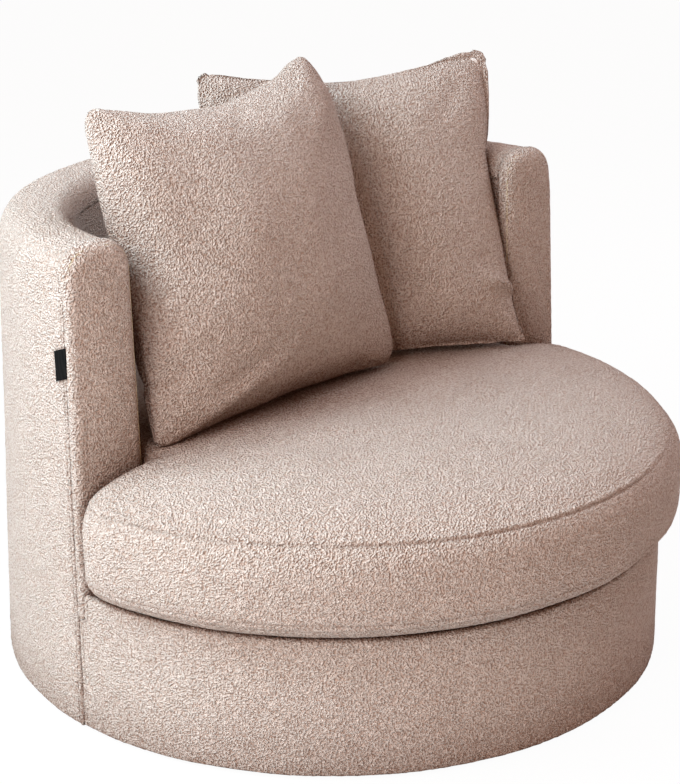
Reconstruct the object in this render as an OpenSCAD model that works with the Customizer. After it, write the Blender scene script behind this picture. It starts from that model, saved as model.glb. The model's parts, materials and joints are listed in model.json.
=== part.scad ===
// Round tub chair on a hidden swivel plinth: a barrel frame with padded walls,
// a loose seat cushion that overhangs the base, and two loose scatter pillows.
// +Z is up, the origin is on the swivel axis at the floor, and the front faces -Y.

/* [Body] */
// Outer radius of the upholstered body at floor level
body_r = 500; // [470:5:540]
// How much smaller that radius is at the rim
lean_in = 20; // [10:1:30]
// Thickness of the padded wall at the rim
wall_t = 105; // [95:1:120]
// Height of the rim above the floor
rim_h = 680; // [620:10:740]
// Radius that rounds the rim's outer and inner edges
rim_round = 38; // [20:1:44]
// Gap between the floor and the hem of the covers
hem_gap = 5; // [3:1:16]
// How far the arm ends stand in front of the swivel axis at the floor
arm_foot = 31; // [24:1:60]
// How far the arm ends stand in front of the swivel axis at the rim
arm_head = 4; // [0:1:20]

/* [Upholstery layers] */
// Thickness of the looped fabric with its backing
cover_t = 3; // [2:0.5:5]
// Thickness of the wadding under the outside covers
wadding_t = 6; // [4:1:10]
// Thickness of the foam inside the tub
tub_foam_t = 37; // [25:1:45]
// Thickness of the foam on the arm ends
arm_foam_t = 22; // [14:1:30]
// Width of the base cover's flap, turned in over the lip rail
flap_w = 42; // [36:1:45]
// Thickness of the non-woven dust cover
dust_t = 1; // [0.5:0.5:2]

/* [Frame] */
// Thickness of the plywood base board, deck ring and rails
ply_t = 18; // [12:1:21]
// Thickness of the bent hardboard skins
board_t = 3; // [2:0.5:4]
// Height of the deck ring's underside above the floor
deck_h = 150; // [120:5:160]
// How far the deck ring reaches in past the tub's inside face
deck_ring_in = 45; // [40:1:80]
// Height of the lip rail, round the front of the deck
lip_h = 21; // [12:1:21]
// Height of the middle rail's underside above the floor
mid_rail_h = 395; // [300:5:460]
// Width of the hem ring, from its outer to its inner edge
hem_ring_w = 86; // [60:1:100]
// Width of the uprights, along the curve
post_w = 45; // [30:1:60]
// How far the top rail lies below the start of the rim's rounding
rail_drop = 2; // [1:1:20]
// Number of uprights round the back
post_count = 7; // [5:1:9]
// Number of blocks between base board and deck ring
block_count = 10; // [8:1:12]
// Depth of those blocks, towards the middle
block_d = 45; // [30:1:60]
// Thickness of the arm end uprights
arm_post_t = 25; // [18:1:30]

/* [Deck] */
// Width of an elastic seat strap
strap_w = 60; // [40:1:70]
// Thickness of an elastic seat strap
strap_t = 1.5; // [1:0.5:3]
// Spacing of the straps
strap_pitch = 115; // [90:5:130]
// How far the straps reach onto the deck ring
strap_hold = 38; // [25:1:40]
// Thickness of the felt pad over the straps
deck_pad_t = 6; // [4:1:10]
// Thickness of the deck cloth
deck_cloth_t = 1; // [0.5:0.5:2]

/* [Swivel] */
// How far the round plinth stands in from the body's outer face
plinth_in = 170; // [150:5:220]
// Thickness of the plinth
plinth_t = 25; // [18:1:28]
// Thickness of the felt under the plinth
felt_t = 3; // [2:0.5:5]
// Side of the square swivel plates
plate_side = 300; // [240:5:340]
// Thickness of each swivel plate
plate_t = 3; // [2.5:0.5:4]
// Diameter of the bearing balls
ball_d = 8; // [7:0.5:9]
// Depth of each ball groove
groove_deep = 1; // [0.5:0.1:1.5]
// Number of bearing balls
ball_count = 24; // [12:1:36]
// Radius of the ball race
race_r = 110; // [80:5:130]
// Radius of the centre rivet's shank
rivet_r = 15; // [10:1:20]
// Width of the centre rivet's flanges
rivet_flange_w = 6; // [4:1:8]
// Thickness of the centre rivet's flanges
rivet_flange_t = 2.5; // [2:0.5:4]
// Distance of the plate screws from the plates' edges
plate_screw_edge = 20; // [14:1:30]

/* [Seat cushion] */
// How far the cushion's waist overhangs the body's radius
overhang = 21.5; // [10:0.5:40]
// Thickness of the cushion, from the deck to its crown
seat_t = 210; // [180:1:230]
// How far the waist, where the cushion is widest, lies below the crown
waist_drop = 118; // [100:1:130]
// Gap between the cushion's underside and the inner edge of the flap over the lip rail
belly_gap = 2.5; // [1:0.5:6]
// How far the upper sewn seam lies below the crown
top_seam_drop = 48; // [40:1:80]
// How far the lower sewn seam lies above the deck
low_seam_rise = 22; // [15:1:60]
// Radius that rounds the cushion's back edges inside the tub
seat_back_round = 40; // [20:1:60]
// Radius that rounds the cushion's corners beside the arm ends, seen from above
seat_ear_round = 50; // [20:5:80]
// Thickness of the fibre wrap round the foam
wrap_t = 12; // [8:1:20]
// Height of the zip's teeth and tape
zip_w = 8; // [6:1:12]
// How far the zip's lower edge lies above the deck
zip_rise = 84; // [70:1:110]

/* [Pillows] */
// Side of the left pillow
left_side = 490; // [440:5:500]
// Side of the right pillow
right_side = 488; // [440:1:500]
// Thickness of the pillows at the middle
pillow_t = 130; // [100:5:160]
// How far the top and bottom edges draw in between the corners
draw_in = 34; // [8:1:40]
// How far the corners are rounded off
corner_in = 7; // [4:1:16]
// Thickness of the pillow fabric
pillow_cover_t = 2; // [1.5:0.5:3]
// How far the pillows sink into the seat's crown
pillow_sink = 14; // [6:1:20]
// Distance of the left pillow's side from the tub's left face
left_margin = 15; // [10:0.5:40]
// How far the right pillow's side would pass the tub's right face
right_overhang = 34; // [0:1:40]
// Distance of the left pillow's middle behind the swivel axis
left_back = 68; // [55:1:90]
// Distance of the right pillow's middle behind the swivel axis
right_back = 100; // [85:1:120]
// How far the plane where the pillows press together lies behind their middle
press_back = 25; // [10:1:35]
// How far the squeeze from the other pillow reaches into a pillow
press_deep = 90; // [60:5:120]
// How far the squeeze from the tub's wall reaches into a pillow
side_deep = 50; // [30:5:80]
// How far the squeeze from the seat reaches up into a pillow
sit_deep = 60; // [30:5:90]
// How far the left pillow's side edges swell out between its corners
left_bulge = 8; // [0:1:12]
// How far the right pillow's side edges draw in between its corners
right_pinch = 4; // [0:1:25]
// How much narrower the left pillow is at the top
left_taper = 24; // [0:1:40]
// Left pillow's lean from upright, in degrees
left_lean = 17; // [12:1:22]
// Left pillow's turn about the vertical, in degrees
left_yaw = 3.4; // [-5:0.1:10]
// Left pillow's roll in its own plane, in degrees
left_roll = -1.6; // [-4:0.1:4]
// Right pillow's lean from upright, in degrees
right_lean = 20; // [15:1:25]
// Right pillow's turn about the vertical, in degrees
right_yaw = -20; // [-26:1:-12]
// Right pillow's roll in its own plane, in degrees
right_roll = -1; // [-4:0.1:4]

/* [Label] */
// Length of the blank sewn-in label
label_l = 42; // [30:1:60]
// How far the label stands out of the seam
label_w = 26; // [12:1:30]
// Thickness of the folded label
label_t = 1.2; // [0.8:0.1:2]
// Height of the label's lower edge above the floor
label_h = 508; // [450:1:560]

/* [Hidden] */

// Smoothness of the round pieces
$fn = 96;
// Points on each quarter of a rounded outline
arc_steps = 6;
// Points on each half of the cushion's full outline
swell_steps = 12;
// Cells along each side of a pillow's panel
pillow_cells = 14;

// Gap that keeps soft pieces of different bodies apart
soft_gap = 0.3;
// Gap between layers that lie on the tapered outside face
layer_gap = 0.05;
// Radial play of the swivel on its rivet, and of a ball in its groove
running_gap = 0.05;
// Radial play of a screw in its hole
screw_gap = 0.05;
// Reach of a cutting block, past the whole chair
reach = 2 * body_r + rim_h + overhang;
// Swell of the seat cushion's outline: 2 is an ellipse, more is boxier
seat_swell = 3.9;
// Swell of the pillows' thickness towards their edges
pillow_swell = 0.5;

// Radii of the rim, the tub, the plinth and the opening in the deck ring
rim_r = body_r - lean_in;
tub_r = rim_r - wall_t;
plinth_r = body_r - plinth_in;
deck_hole_r = tub_r - deck_ring_in;

// Heights up through the swivel
plinth_z = felt_t;
lower_plate_z = plinth_z + plinth_t;
race_z = lower_plate_z + plate_t - groove_deep + ball_d / 2;
upper_plate_z = race_z + ball_d / 2 - groove_deep;
board_z = upper_plate_z + plate_t;
blocks_z = board_z + ply_t;
hem_ring_z = hem_gap + dust_t;

// Heights up through the deck and the wall
deck_ring_top = deck_h + ply_t;
lip_top = deck_ring_top + lip_h;
strap_top = deck_ring_top + 2 * strap_t;
pad_top = strap_top + deck_pad_t;
deck_top = pad_top + deck_cloth_t;
crown_h = deck_top + seat_t;
waist_h = crown_h - waist_drop;
top_seam_h = crown_h - top_seam_drop;
low_seam_h = deck_top + low_seam_rise;
zip_h = deck_top + zip_rise;
mid_rail_top = mid_rail_h + ply_t;
top_rail_top = rim_h - rim_round - rail_drop;
top_rail_z = top_rail_top - ply_t;

// Depths inwards through the outside and the inside of the wall
wadding_in = cover_t + layer_gap;
board_in = cover_t + wadding_t;
frame_in = board_in + board_t;
inner_board_r = tub_r + cover_t + tub_foam_t;
frame_r = inner_board_r + board_t;
arm_post_in = cover_t + arm_foam_t;
uprights_in = arm_post_in + arm_post_t;
strap_reach = deck_hole_r + strap_hold;

// The cushion's waist radius, and the depth of its lower half, which clears the flap's inner edge
seat_r = body_r + overhang;
flap_r = body_at(lip_top) - flap_w;
belly_d = (waist_h - lip_top - cover_t - belly_gap) / half_swell(flap_r / seat_r);

// Screws
wood_screw = [4, 2, 2.2, 16];
rail_screw = [5, 2.5, 2.5, 45];

// Outer radius of the body at a height
function body_at(z) = body_r - (body_r - rim_r) * z / rim_h;

// Height of the cushion's outline over its waist at a share of its radius, as a share of its greatest
function half_swell(share) = pow(max(0, 1 - pow(min(1, share), seat_swell)), 1 / seat_swell);

// Points of a quarter circle about a centre, from one angle to another
function arc(centre, r, from, to) =
    [for (i = [0 : arc_steps]) let (a = from + (to - from) * i / arc_steps)
        centre + r * [cos(a), sin(a)]];

// Outside line of the wall, a depth inside its face, up to the top of the rim
function outer_line(depth, z0) = concat(
    [[body_at(z0) - depth, z0]],
    arc([body_at(rim_h - rim_round) - rim_round, rim_h - rim_round], rim_round - depth, 0, 90));

// Inside line of the wall, a depth inside its face, down from the top of the rim
function inner_line(depth, z0) = concat(
    arc([tub_r + rim_round, rim_h - rim_round], rim_round - depth, 90, 180),
    [[tub_r + depth, z0]]);

function backwards(list) = [for (i = [len(list) - 1 : -1 : 0]) list[i]];

// Outside line of the base's front, a depth inside its face, up to the top of the lip rail
function lip_line(depth, z0) = concat([[body_at(z0) - depth, z0]],
    arc([body_at(lip_top - wadding_t) - cover_t - wadding_t, lip_top - wadding_t],
        cover_t + wadding_t - depth, 0, 90));

// Outline of a layer on the outside face between two heights and two depths
function face_strip(d0, d1, z0, z1) = [[body_at(z0) - d0, z0], [body_at(z1) - d0, z1],
    [body_at(z1) - d1, z1], [body_at(z0) - d1, z0]];

module ring(outline) rotate_extrude() polygon(outline);

module tube(r_out, r_in, z0, z1) ring([[r_in, z0], [r_out, z0], [r_out, z1], [r_in, z1]]);

// All that lies behind the leaning plane of the arm ends, a depth behind it
module behind_arms(depth = 0)
    translate([0, -arm_foot, 0]) rotate([-atan((arm_foot - arm_head) / rim_h), 0, 0])
        translate([-reach, depth, -reach]) cube(2 * reach);

// All that lies in front of that plane
module before_arms(depth = 0)
    translate([0, -arm_foot, 0]) rotate([-atan((arm_foot - arm_head) / rim_h), 0, 0])
        translate([-reach, -2 * reach - depth, -reach]) cube(2 * reach);

// One side of the chair: -1 is the left arm's side, 1 the right arm's
module on_side(side) translate([side < 0 ? -reach : 0, -reach, -reach]) cube([reach, 2 * reach, 2 * reach]);

module back_part(depth = 0) intersection() { children(); behind_arms(depth); }

module front_part(depth = 0) intersection() { children(); before_arms(depth); }

// A slice of the arm end between two depths behind its face
module arm_slice(side, d0, d1)
    difference() {
        intersection() { children(); behind_arms(d0); on_side(side); front_cap(); }
        behind_arms(d1);
    }

// Room that holds both arm ends and no other part of the wall
module front_cap() translate([-reach, -tub_r / 2, 0]) cube([2 * reach, tub_r, reach]);

// A screw with its head down from the origin and its shank up: [head r, head t, shank r, length].
// As a cut, with play, it stands out that much behind its head.
module screw(size, play = 0) {
    translate([0, 0, -play]) cylinder(r = size[0] + play, h = size[1] + play);
    translate([0, 0, size[1]]) cylinder(r = size[2] + play, h = size[3]);
}

module at_plate_corners() {
    d = plate_side / 2 - plate_screw_edge;
    for (x = [-d, d], y = [-d, d]) translate([x, y, 0]) children();
}

module plinth_screw_set(play = 0)
    translate([0, 0, lower_plate_z + plate_t + wood_screw[1]]) at_plate_corners()
        mirror([0, 0, 1]) screw(wood_screw, play);

module swivel_screw_set(play = 0)
    translate([0, 0, upper_plate_z - wood_screw[1]]) at_plate_corners() screw(wood_screw, play);

// Directions of the uprights round the back, clear of both arm ends
upright_span = 180 / (post_count + 1);
module at_uprights() for (i = [1 : post_count]) rotate([0, 0, i * upright_span]) children();

// Directions of the arm posts
module at_arm_posts() for (side = [-1, 1]) translate([side * (frame_r + post_w / 2), arm_post_mid, 0]) children();
arm_post_mid = uprights_in - arm_head - arm_post_t / 2 + screw_gap;

module rail_screw_set(play = 0)
    translate([0, 0, top_rail_top]) {
        at_uprights() translate([frame_r + rail_mid, 0, 0]) mirror([0, 0, 1]) screw(rail_screw, play);
        at_arm_posts() mirror([0, 0, 1]) screw(rail_screw, play);
    }
// Middle of a rail, outwards from the frame's inner face
rail_mid = (body_at(top_rail_top) - frame_in - frame_r) / 2;

// Swivel plinth

module floor_felt() color("dimgray") cylinder(r = plinth_r - felt_t, h = felt_t);

module plinth() color("burlywood") difference() {
    translate([0, 0, plinth_z]) cylinder(r = plinth_r, h = plinth_t);
    translate([0, 0, lower_plate_z - rivet_flange_t])
        cylinder(r = rivet_r + rivet_flange_w + screw_gap, h = rivet_flange_t * 2);
    plinth_screw_set(screw_gap);
}

module swivel_plate(z, bore) difference() {
    translate([-plate_side / 2, -plate_side / 2, z]) cube([plate_side, plate_side, plate_t]);
    translate([0, 0, z - plate_t]) cylinder(r = bore, h = 3 * plate_t);
    translate([0, 0, race_z]) rotate_extrude() translate([race_r, 0]) circle(r = ball_d / 2 + running_gap);
}

module swivel_lower_plate() color("silver") difference() {
    swivel_plate(lower_plate_z, rivet_r);
    plinth_screw_set(screw_gap);
}

module swivel_upper_plate() color("silver") difference() {
    swivel_plate(upper_plate_z, rivet_r + running_gap);
    swivel_screw_set(screw_gap);
}

module swivel_balls() color("gainsboro")
    for (i = [0 : ball_count - 1]) rotate([0, 0, i * 360 / ball_count])
        translate([race_r, 0, race_z]) sphere(d = ball_d);

module swivel_rivet() color("gray") {
    flange_r = rivet_r + rivet_flange_w;
    ring([[0, lower_plate_z - rivet_flange_t], [flange_r, lower_plate_z - rivet_flange_t],
        [flange_r, lower_plate_z], [rivet_r, lower_plate_z], [rivet_r, board_z + soft_gap],
        [flange_r, board_z + soft_gap], [flange_r, board_z + soft_gap + rivet_flange_t],
        [0, board_z + soft_gap + rivet_flange_t]]);
}

module plinth_screws() color("gray") plinth_screw_set();

module swivel_screws() color("gray") swivel_screw_set();

// Frame

module hem_ring() color("burlywood") {
    r = body_at(board_z) - frame_in;
    tube(r, r - hem_ring_w, hem_ring_z, board_z);
}

module base_board() color("burlywood") difference() {
    translate([0, 0, board_z]) cylinder(r = body_at(blocks_z) - frame_in, h = ply_t);
    translate([0, 0, board_z - ply_t])
        cylinder(r = rivet_r + rivet_flange_w + rivet_flange_t, h = 3 * ply_t);
    swivel_screw_set(screw_gap);
}

module base_blocks() color("tan") {
    r = body_at(deck_h) - frame_in - rail_mid / 2;
    for (i = [0 : block_count - 1]) rotate([0, 0, (i + 1 / 2) * 360 / block_count])
        translate([r - block_d, -post_w / 2, blocks_z]) cube([block_d, post_w, deck_h - blocks_z]);
}

module deck_ring() color("burlywood")
    tube(body_at(deck_ring_top) - frame_in, deck_hole_r, deck_h, deck_ring_top);

module lip_rail() color("burlywood") difference() {
    tube(body_at(lip_top) - frame_in, flap_r, deck_ring_top, lip_top);
    behind_arms(-soft_gap);
}

module upright(z0, z1) translate([frame_r, -post_w / 2, z0])
    cube([2 * rail_mid - ply_t / 2, post_w, z1 - z0]);

module lower_uprights() color("tan") at_uprights() upright(deck_ring_top, mid_rail_h);

module upper_uprights() color("tan") difference() {
    at_uprights() upright(mid_rail_top, top_rail_z);
    rail_screw_set(screw_gap);
}

module arm_post(side) color("tan") difference() {
    arm_slice(side, arm_post_in, uprights_in)
        tube(body_at(top_rail_top) - frame_in, frame_r, deck_ring_top, top_rail_z);
    rail_screw_set(screw_gap);
}

module mid_rail() color("burlywood") back_part(uprights_in)
    tube(body_at(mid_rail_top) - frame_in, frame_r, mid_rail_h, mid_rail_top);

module top_rail() color("burlywood") difference() {
    back_part(arm_post_in) tube(body_at(top_rail_top) - frame_in, frame_r, top_rail_z, top_rail_top);
    rail_screw_set(screw_gap);
}

module rail_screws() color("gray") rail_screw_set();

module outer_board() color("peru") back_part(arm_post_in)
    ring(face_strip(board_in, frame_in, hem_ring_z, top_rail_top));

module inner_board() color("peru") back_part(arm_post_in)
    tube(frame_r, inner_board_r, deck_ring_top, top_rail_top);

// The corner over the deck ring that the arm ends take from the front's board and wadding
module above_deck_behind() intersection() {
    behind_arms();
    translate([-reach, -reach, deck_ring_top]) cube(2 * reach);
}

module base_front_board() color("peru") difference() {
    ring(face_strip(board_in, frame_in, hem_ring_z, lip_top));
    behind_arms(arm_post_in);
    above_deck_behind();
}

// Deck

module strap_set(turn, z) intersection() {
    cylinder(r = strap_reach, h = reach);
    rotate([0, 0, turn]) for (i = [-2 : 2])
        translate([i * strap_pitch - strap_w / 2, -reach, z]) cube([strap_w, 2 * reach, strap_t]);
}

module straps_lengthwise() color("darkgray") strap_set(0, deck_ring_top);

module straps_crosswise() color("lightgray") strap_set(90, deck_ring_top + strap_t);

// The deck's outline: wide in front of the arm ends, narrow inside the tub
module deck_sheet(z, t) {
    wide = flap_r - cover_t;
    back_part(-soft_gap) translate([0, 0, z]) cylinder(r = tub_r, h = t);
    front_part(soft_gap) translate([0, 0, z]) cylinder(r = wide, h = t);
}

module deck_pad() color("whitesmoke") deck_sheet(strap_top, deck_pad_t);

module deck_cloth() color("dimgray") deck_sheet(pad_top, deck_cloth_t);

// Wall upholstery

module tub_foam() color("lightyellow") back_part(arm_post_in)
    tube(inner_board_r, tub_r + cover_t, deck_ring_top, top_rail_top);

module rim_foam() color("lightyellow") back_part(arm_post_in)
    ring(concat([[body_at(top_rail_top) - cover_t, top_rail_top]],
        outer_line(cover_t, top_rail_top), inner_line(cover_t, top_rail_top)));

// The arm end's section inside the outer cover, with or without the inner cover's thickness
module arm_section(depth) ring(concat([[body_at(deck_ring_top) - cover_t, deck_ring_top]],
    outer_line(cover_t, deck_ring_top), inner_line(cover_t, rim_h - rim_round),
    [[tub_r + depth, rim_h - rim_round], [tub_r + depth, deck_ring_top]]));

module arm_foam(side) color("lightyellow") arm_slice(side, cover_t, arm_post_in) arm_section(cover_t);

module outer_wadding() color("white") back_part(arm_post_in)
    ring(face_strip(wadding_in, board_in, hem_ring_z, top_rail_top));

module base_front_wadding() color("white") difference() {
    ring(concat(lip_line(wadding_in, hem_ring_z), [[body_at(lip_top) - board_in, lip_top],
        [body_at(hem_ring_z) - board_in, hem_ring_z]]));
    behind_arms(arm_post_in);
    above_deck_behind();
}

module outer_cover() color([0.86, 0.77, 0.71]) back_part()
    ring(concat(outer_line(0, hem_gap), inner_line(0, rim_h - rim_round),
        backwards(inner_line(cover_t, rim_h - rim_round)), backwards(outer_line(cover_t, hem_gap))));

module inner_cover() color([0.80, 0.70, 0.64]) back_part(cover_t)
    tube(tub_r + cover_t, tub_r, deck_ring_top, rim_h - rim_round);

module arm_end_cover(side) color([0.82, 0.72, 0.66]) arm_slice(side, 0, cover_t) arm_section(0);

module base_front_cover() color([0.84, 0.75, 0.69]) front_part() ring(concat(lip_line(0, hem_gap),
    [[flap_r, lip_top + cover_t], [flap_r, lip_top]], backwards(lip_line(cover_t, hem_gap))));

module dust_cover() color("black") {
    r = body_at(hem_ring_z) - wadding_in;
    tube(r, body_at(board_z) - frame_in - hem_ring_w, hem_gap, hem_ring_z);
}

module blank_label() color("black") intersection() {
    ring(face_strip(-label_t, 0, label_h, label_h + label_l));
    on_side(-1);
    front_cap();
    behind_arms(0);
    before_arms(-label_w);
}

// Seat cushion

// Height of the cushion's top at a radius, a depth inside its face
function crown_at(r, depth = 0) = waist_h + (waist_drop - depth) * half_swell(r / (seat_r - depth));

// Points of the outline, from -90 degrees at the bottom to 90 at the crown
function swell_point(a, depth) = [(seat_r - depth) * pow(cos(a), 2 / seat_swell),
    waist_h + sign(a) * ((a > 0 ? waist_drop : belly_d) - depth) * pow(abs(sin(a)), 2 / seat_swell)];

module seat_full(depth) ring(concat([[0, waist_h - belly_d + depth]],
    [for (i = [1 - swell_steps : swell_steps - 1]) swell_point(i * 90 / swell_steps, depth)],
    [[0, crown_h - depth]]));

// All in front of the arm ends but for the corners beside them, which it rounds in plan
module ear_block(depth) {
    face = arm_foot - (arm_foot - arm_head) * crown_h / rim_h + soft_gap + depth;
    bend = seat_ear_round - depth;
    middle = [sqrt(pow(seat_r - depth - bend, 2) - pow(face + bend, 2)), -face - bend];
    ear = arc(middle, bend, atan2(middle.y, middle.x), 90);
    linear_extrude(height = reach) polygon(concat([[-reach, -reach], [reach, -reach]], ear,
        [[middle.x, reach], [-middle.x, reach]], [for (p = backwards(ear)) [-p.x, p.y]]));
}

// The room inside the tub that the cushion may fill, with rounded back edges
module tub_form(depth) {
    low = deck_top + soft_gap + depth;
    bend = seat_back_round - depth;
    inner = tub_r - soft_gap - depth - bend;
    ring(concat([[0, low - bend]], arc([inner, low + bend], bend, -90, 0),
        arc([inner, crown_at(inner, depth) - bend], bend, 0, 90), [[0, crown_h + bend]]));
}

module seat_solid(depth) intersection() {
    seat_full(depth);
    union() {
        front_part(soft_gap + depth) ear_block(depth);
        tub_form(depth);
    }
    translate([-reach, -reach, deck_top + soft_gap + depth]) cube(2 * reach);
}

module seat_slice(z0, z1) intersection() {
    difference() { seat_solid(0); seat_solid(cover_t); }
    translate([-reach, -reach, z0]) cube([2 * reach, 2 * reach, z1 - z0]);
}

module seat_foam() color("lightyellow") seat_solid(cover_t + wrap_t);

module seat_wrap() color("white") difference() { seat_solid(cover_t); seat_solid(cover_t + wrap_t); }

module seat_cover_top() color([0.85, 0.76, 0.70]) seat_slice(top_seam_h, crown_h);

module seat_cover_band() color([0.82, 0.73, 0.67]) difference() {
    seat_slice(low_seam_h, top_seam_h);
    zip_strip();
}

module seat_cover_bottom() color([0.80, 0.70, 0.64]) seat_slice(0, low_seam_h);

// The zip lies in the back of the band, across as much of the back as the tub's radius
module zip_strip() intersection() {
    tube(tub_r - soft_gap, tub_r - soft_gap - cover_t, zip_h, zip_h + zip_w);
    translate([-tub_r / 2, 0, 0]) cube([tub_r, reach, reach]);
}

module seat_zip() color("dimgray") zip_strip();

// Pillows

// A pillow's pose: [middle, lean, turn, roll, half side, which side of the pressed plane, how far
// its side edges draw in, how much narrower each half of it is at the top]
left_x = left_margin + left_side / 2 - tub_r;
right_x = tub_r + right_overhang - right_side / 2;
left_pose = [[left_x, left_back, crown_h - pillow_sink + left_side / 2 * cos(left_lean)],
    left_lean, left_yaw, left_roll, left_side / 2, 1, -left_bulge, left_taper / 2];
right_pose = [[right_x, right_back, crown_h - pillow_sink + right_side / 2 * cos(right_lean)],
    right_lean, right_yaw, right_roll, right_side / 2, -1, right_pinch, 0];

// Turns a point about an axis by an angle
function turn_x(p, a) = [p.x, p.y * cos(a) - p.z * sin(a), p.y * sin(a) + p.z * cos(a)];
function turn_y(p, a) = [p.x * cos(a) + p.z * sin(a), p.y, p.z * cos(a) - p.x * sin(a)];
function turn_z(p, a) = [p.x * cos(a) - p.y * sin(a), p.x * sin(a) + p.y * cos(a), p.z];

// The plane where the pillows press together faces forwards, along press_dir
press_dir = turn_z(turn_x([0, -1, 0], -left_lean), right_yaw);
press_at = (left_pose[0] + right_pose[0]) / 2 - press_back * press_dir;
// Past the left pillow's right edge the right pillow is free of that plane
press_edge = left_x + left_side / 2 + pillow_sink;

// How a squeezed stretch eases: its lowest value goes to 0, and 1 and more stay as they are
function eased(x, low) = low >= 0 || x >= 1 ? x : pow((x - low) / (1 - low), 1 - low);

// Squeezes points along a direction that may differ at each: room is each one's distance from what
// it must not pass, ways are the directions away from that, and deep is how far the squeeze reaches
function squeezed(points, room, ways, deep) = let (low = min(room) / deep)
    [for (i = [0 : len(points) - 1])
        points[i] + (deep * eased(room[i] / deep, low) - room[i]) * ways[i]];

// Keeps points on top of the seat cushion
function on_seat(points, keep) = squeezed(points,
    [for (p = points) p.z - crown_at(norm([p.x, p.y])) - keep], [for (p = points) [0, 0, 1]], sit_deep);

// Keeps points inside the tub, up to the rim, over which the pillow may bend
function in_tub(points, keep) = squeezed(points,
    [for (p = points) tub_r - keep + max(0, p.z - rim_h) - norm([p.x, p.y])],
    [for (p = points) [-p.x, -p.y, 0] / norm([p.x, p.y])], side_deep);

// Keeps points on their own side of the plane where the pillows press together, moving them level
function pressed(points, side, keep) = squeezed(points,
    [for (p = points) side * (p - press_at) * press_dir - keep + (side < 0 ? max(0, p.x - press_edge) : 0)],
    [for (p = points) side * [press_dir.x, press_dir.y, 0] / (1 - press_dir.z * press_dir.z)], press_deep);

function cell(i) = sin(180 * i / pillow_cells - 90);

// How far the filling swells off the pillow's middle plane
function filling_at(u, v) = (pillow_t / 2 - pillow_cover_t)
    * pow(max(0, (1 - u * u) * (1 - v * v)), pillow_swell);

// A point of a plump, unpressed pillow: u and v run from -1 to 1 along its sides, way is -1 for its
// front face and 1 for its back, and depth is how far it lies inside the fabric's outer face
function plump_point(pose, u, v, way, depth) =
    let (a = pose[4] - depth,
        corner = corner_in * pow(u * v, 8),
        flat = [(a - corner - pose[7] * (1 + v) / 2) * u - pose[6] * (1 - v * v) * pow(u, 3),
            way * (filling_at(u, v) + pillow_cover_t - depth),
            (a - corner) * v - draw_in * (1 - u * u) * pow(v, 3)])
    pose[0] + turn_z(turn_x(turn_y(flat, pose[3]), -pose[1]), pose[2]);

// Grid of points over the front face and then the back face, squeezed by all that the pillow meets
function pillow_points(pose, depth) = pressed(in_tub(on_seat(
    [for (way = [-1, 1], i = [0 : pillow_cells], j = [0 : pillow_cells])
        plump_point(pose, cell(i), cell(j), way, depth)],
    soft_gap + depth), soft_gap + depth), pose[5], soft_gap / 2 + depth);

pillow_row = pillow_cells + 1;
pillow_size = pillow_row * pillow_row;
// Two triangles for each cell of a grid that starts at a point's number, split along the diagonal
// that points at the grid's middle; turned faces the other way
function face_cells(start, turned) = [for (i = [0 : pillow_cells - 1], j = [0 : pillow_cells - 1])
    let (a = start + i * pillow_row + j, b = a + pillow_row,
        split = (2 * i < pillow_cells) == (2 * j < pillow_cells)
            ? [[a, b, b + 1], [a, b + 1, a + 1]] : [[a, b, a + 1], [b, b + 1, a + 1]])
    each turned ? split : [for (t = split) backwards(t)]];

// The numbers of a grid's rim points, in order round it
rim_order = concat([for (i = [0 : pillow_cells - 1]) i * pillow_row],
    [for (j = [0 : pillow_cells - 1]) pillow_cells * pillow_row + j],
    [for (i = [pillow_cells : -1 : 1]) i * pillow_row + pillow_cells],
    [for (j = [pillow_cells : -1 : 1]) j]);

function rim_cells(start, turned) = [for (k = [0 : len(rim_order) - 1])
    let (a = rim_order[k], b = rim_order[(k + 1) % len(rim_order)])
    each turned ? [[a, b, start + b], [a, start + b, start + a]]
        : [[a, start + b, b], [a, start + a, start + b]]];

// One panel of the cover: a fabric shell between its outer face and the filling
module pillow_panel(pose, way) {
    face = [for (i = [0 : pillow_size - 1]) i + (way > 0 ? pillow_size : 0)];
    outside = pillow_points(pose, 0);
    inside = pillow_points(pose, pillow_cover_t);
    polyhedron(concat([for (i = face) outside[i]], [for (i = face) inside[i]]),
        concat(face_cells(0, way > 0), face_cells(pillow_size, way < 0), rim_cells(pillow_size, way < 0)));
}

module pillow_filling(pose) polyhedron(pillow_points(pose, pillow_cover_t),
    concat(face_cells(0, false), face_cells(pillow_size, true)));

module pillow_left_front() color([0.84, 0.75, 0.69]) pillow_panel(left_pose, -1);

module pillow_left_back() color([0.84, 0.75, 0.69]) pillow_panel(left_pose, 1);

module pillow_left_filling() color("white") pillow_filling(left_pose);

module pillow_right_front() color([0.80, 0.71, 0.65]) pillow_panel(right_pose, -1);

module pillow_right_back() color([0.80, 0.71, 0.65]) pillow_panel(right_pose, 1);

module pillow_right_filling() color("white") pillow_filling(right_pose);

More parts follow.
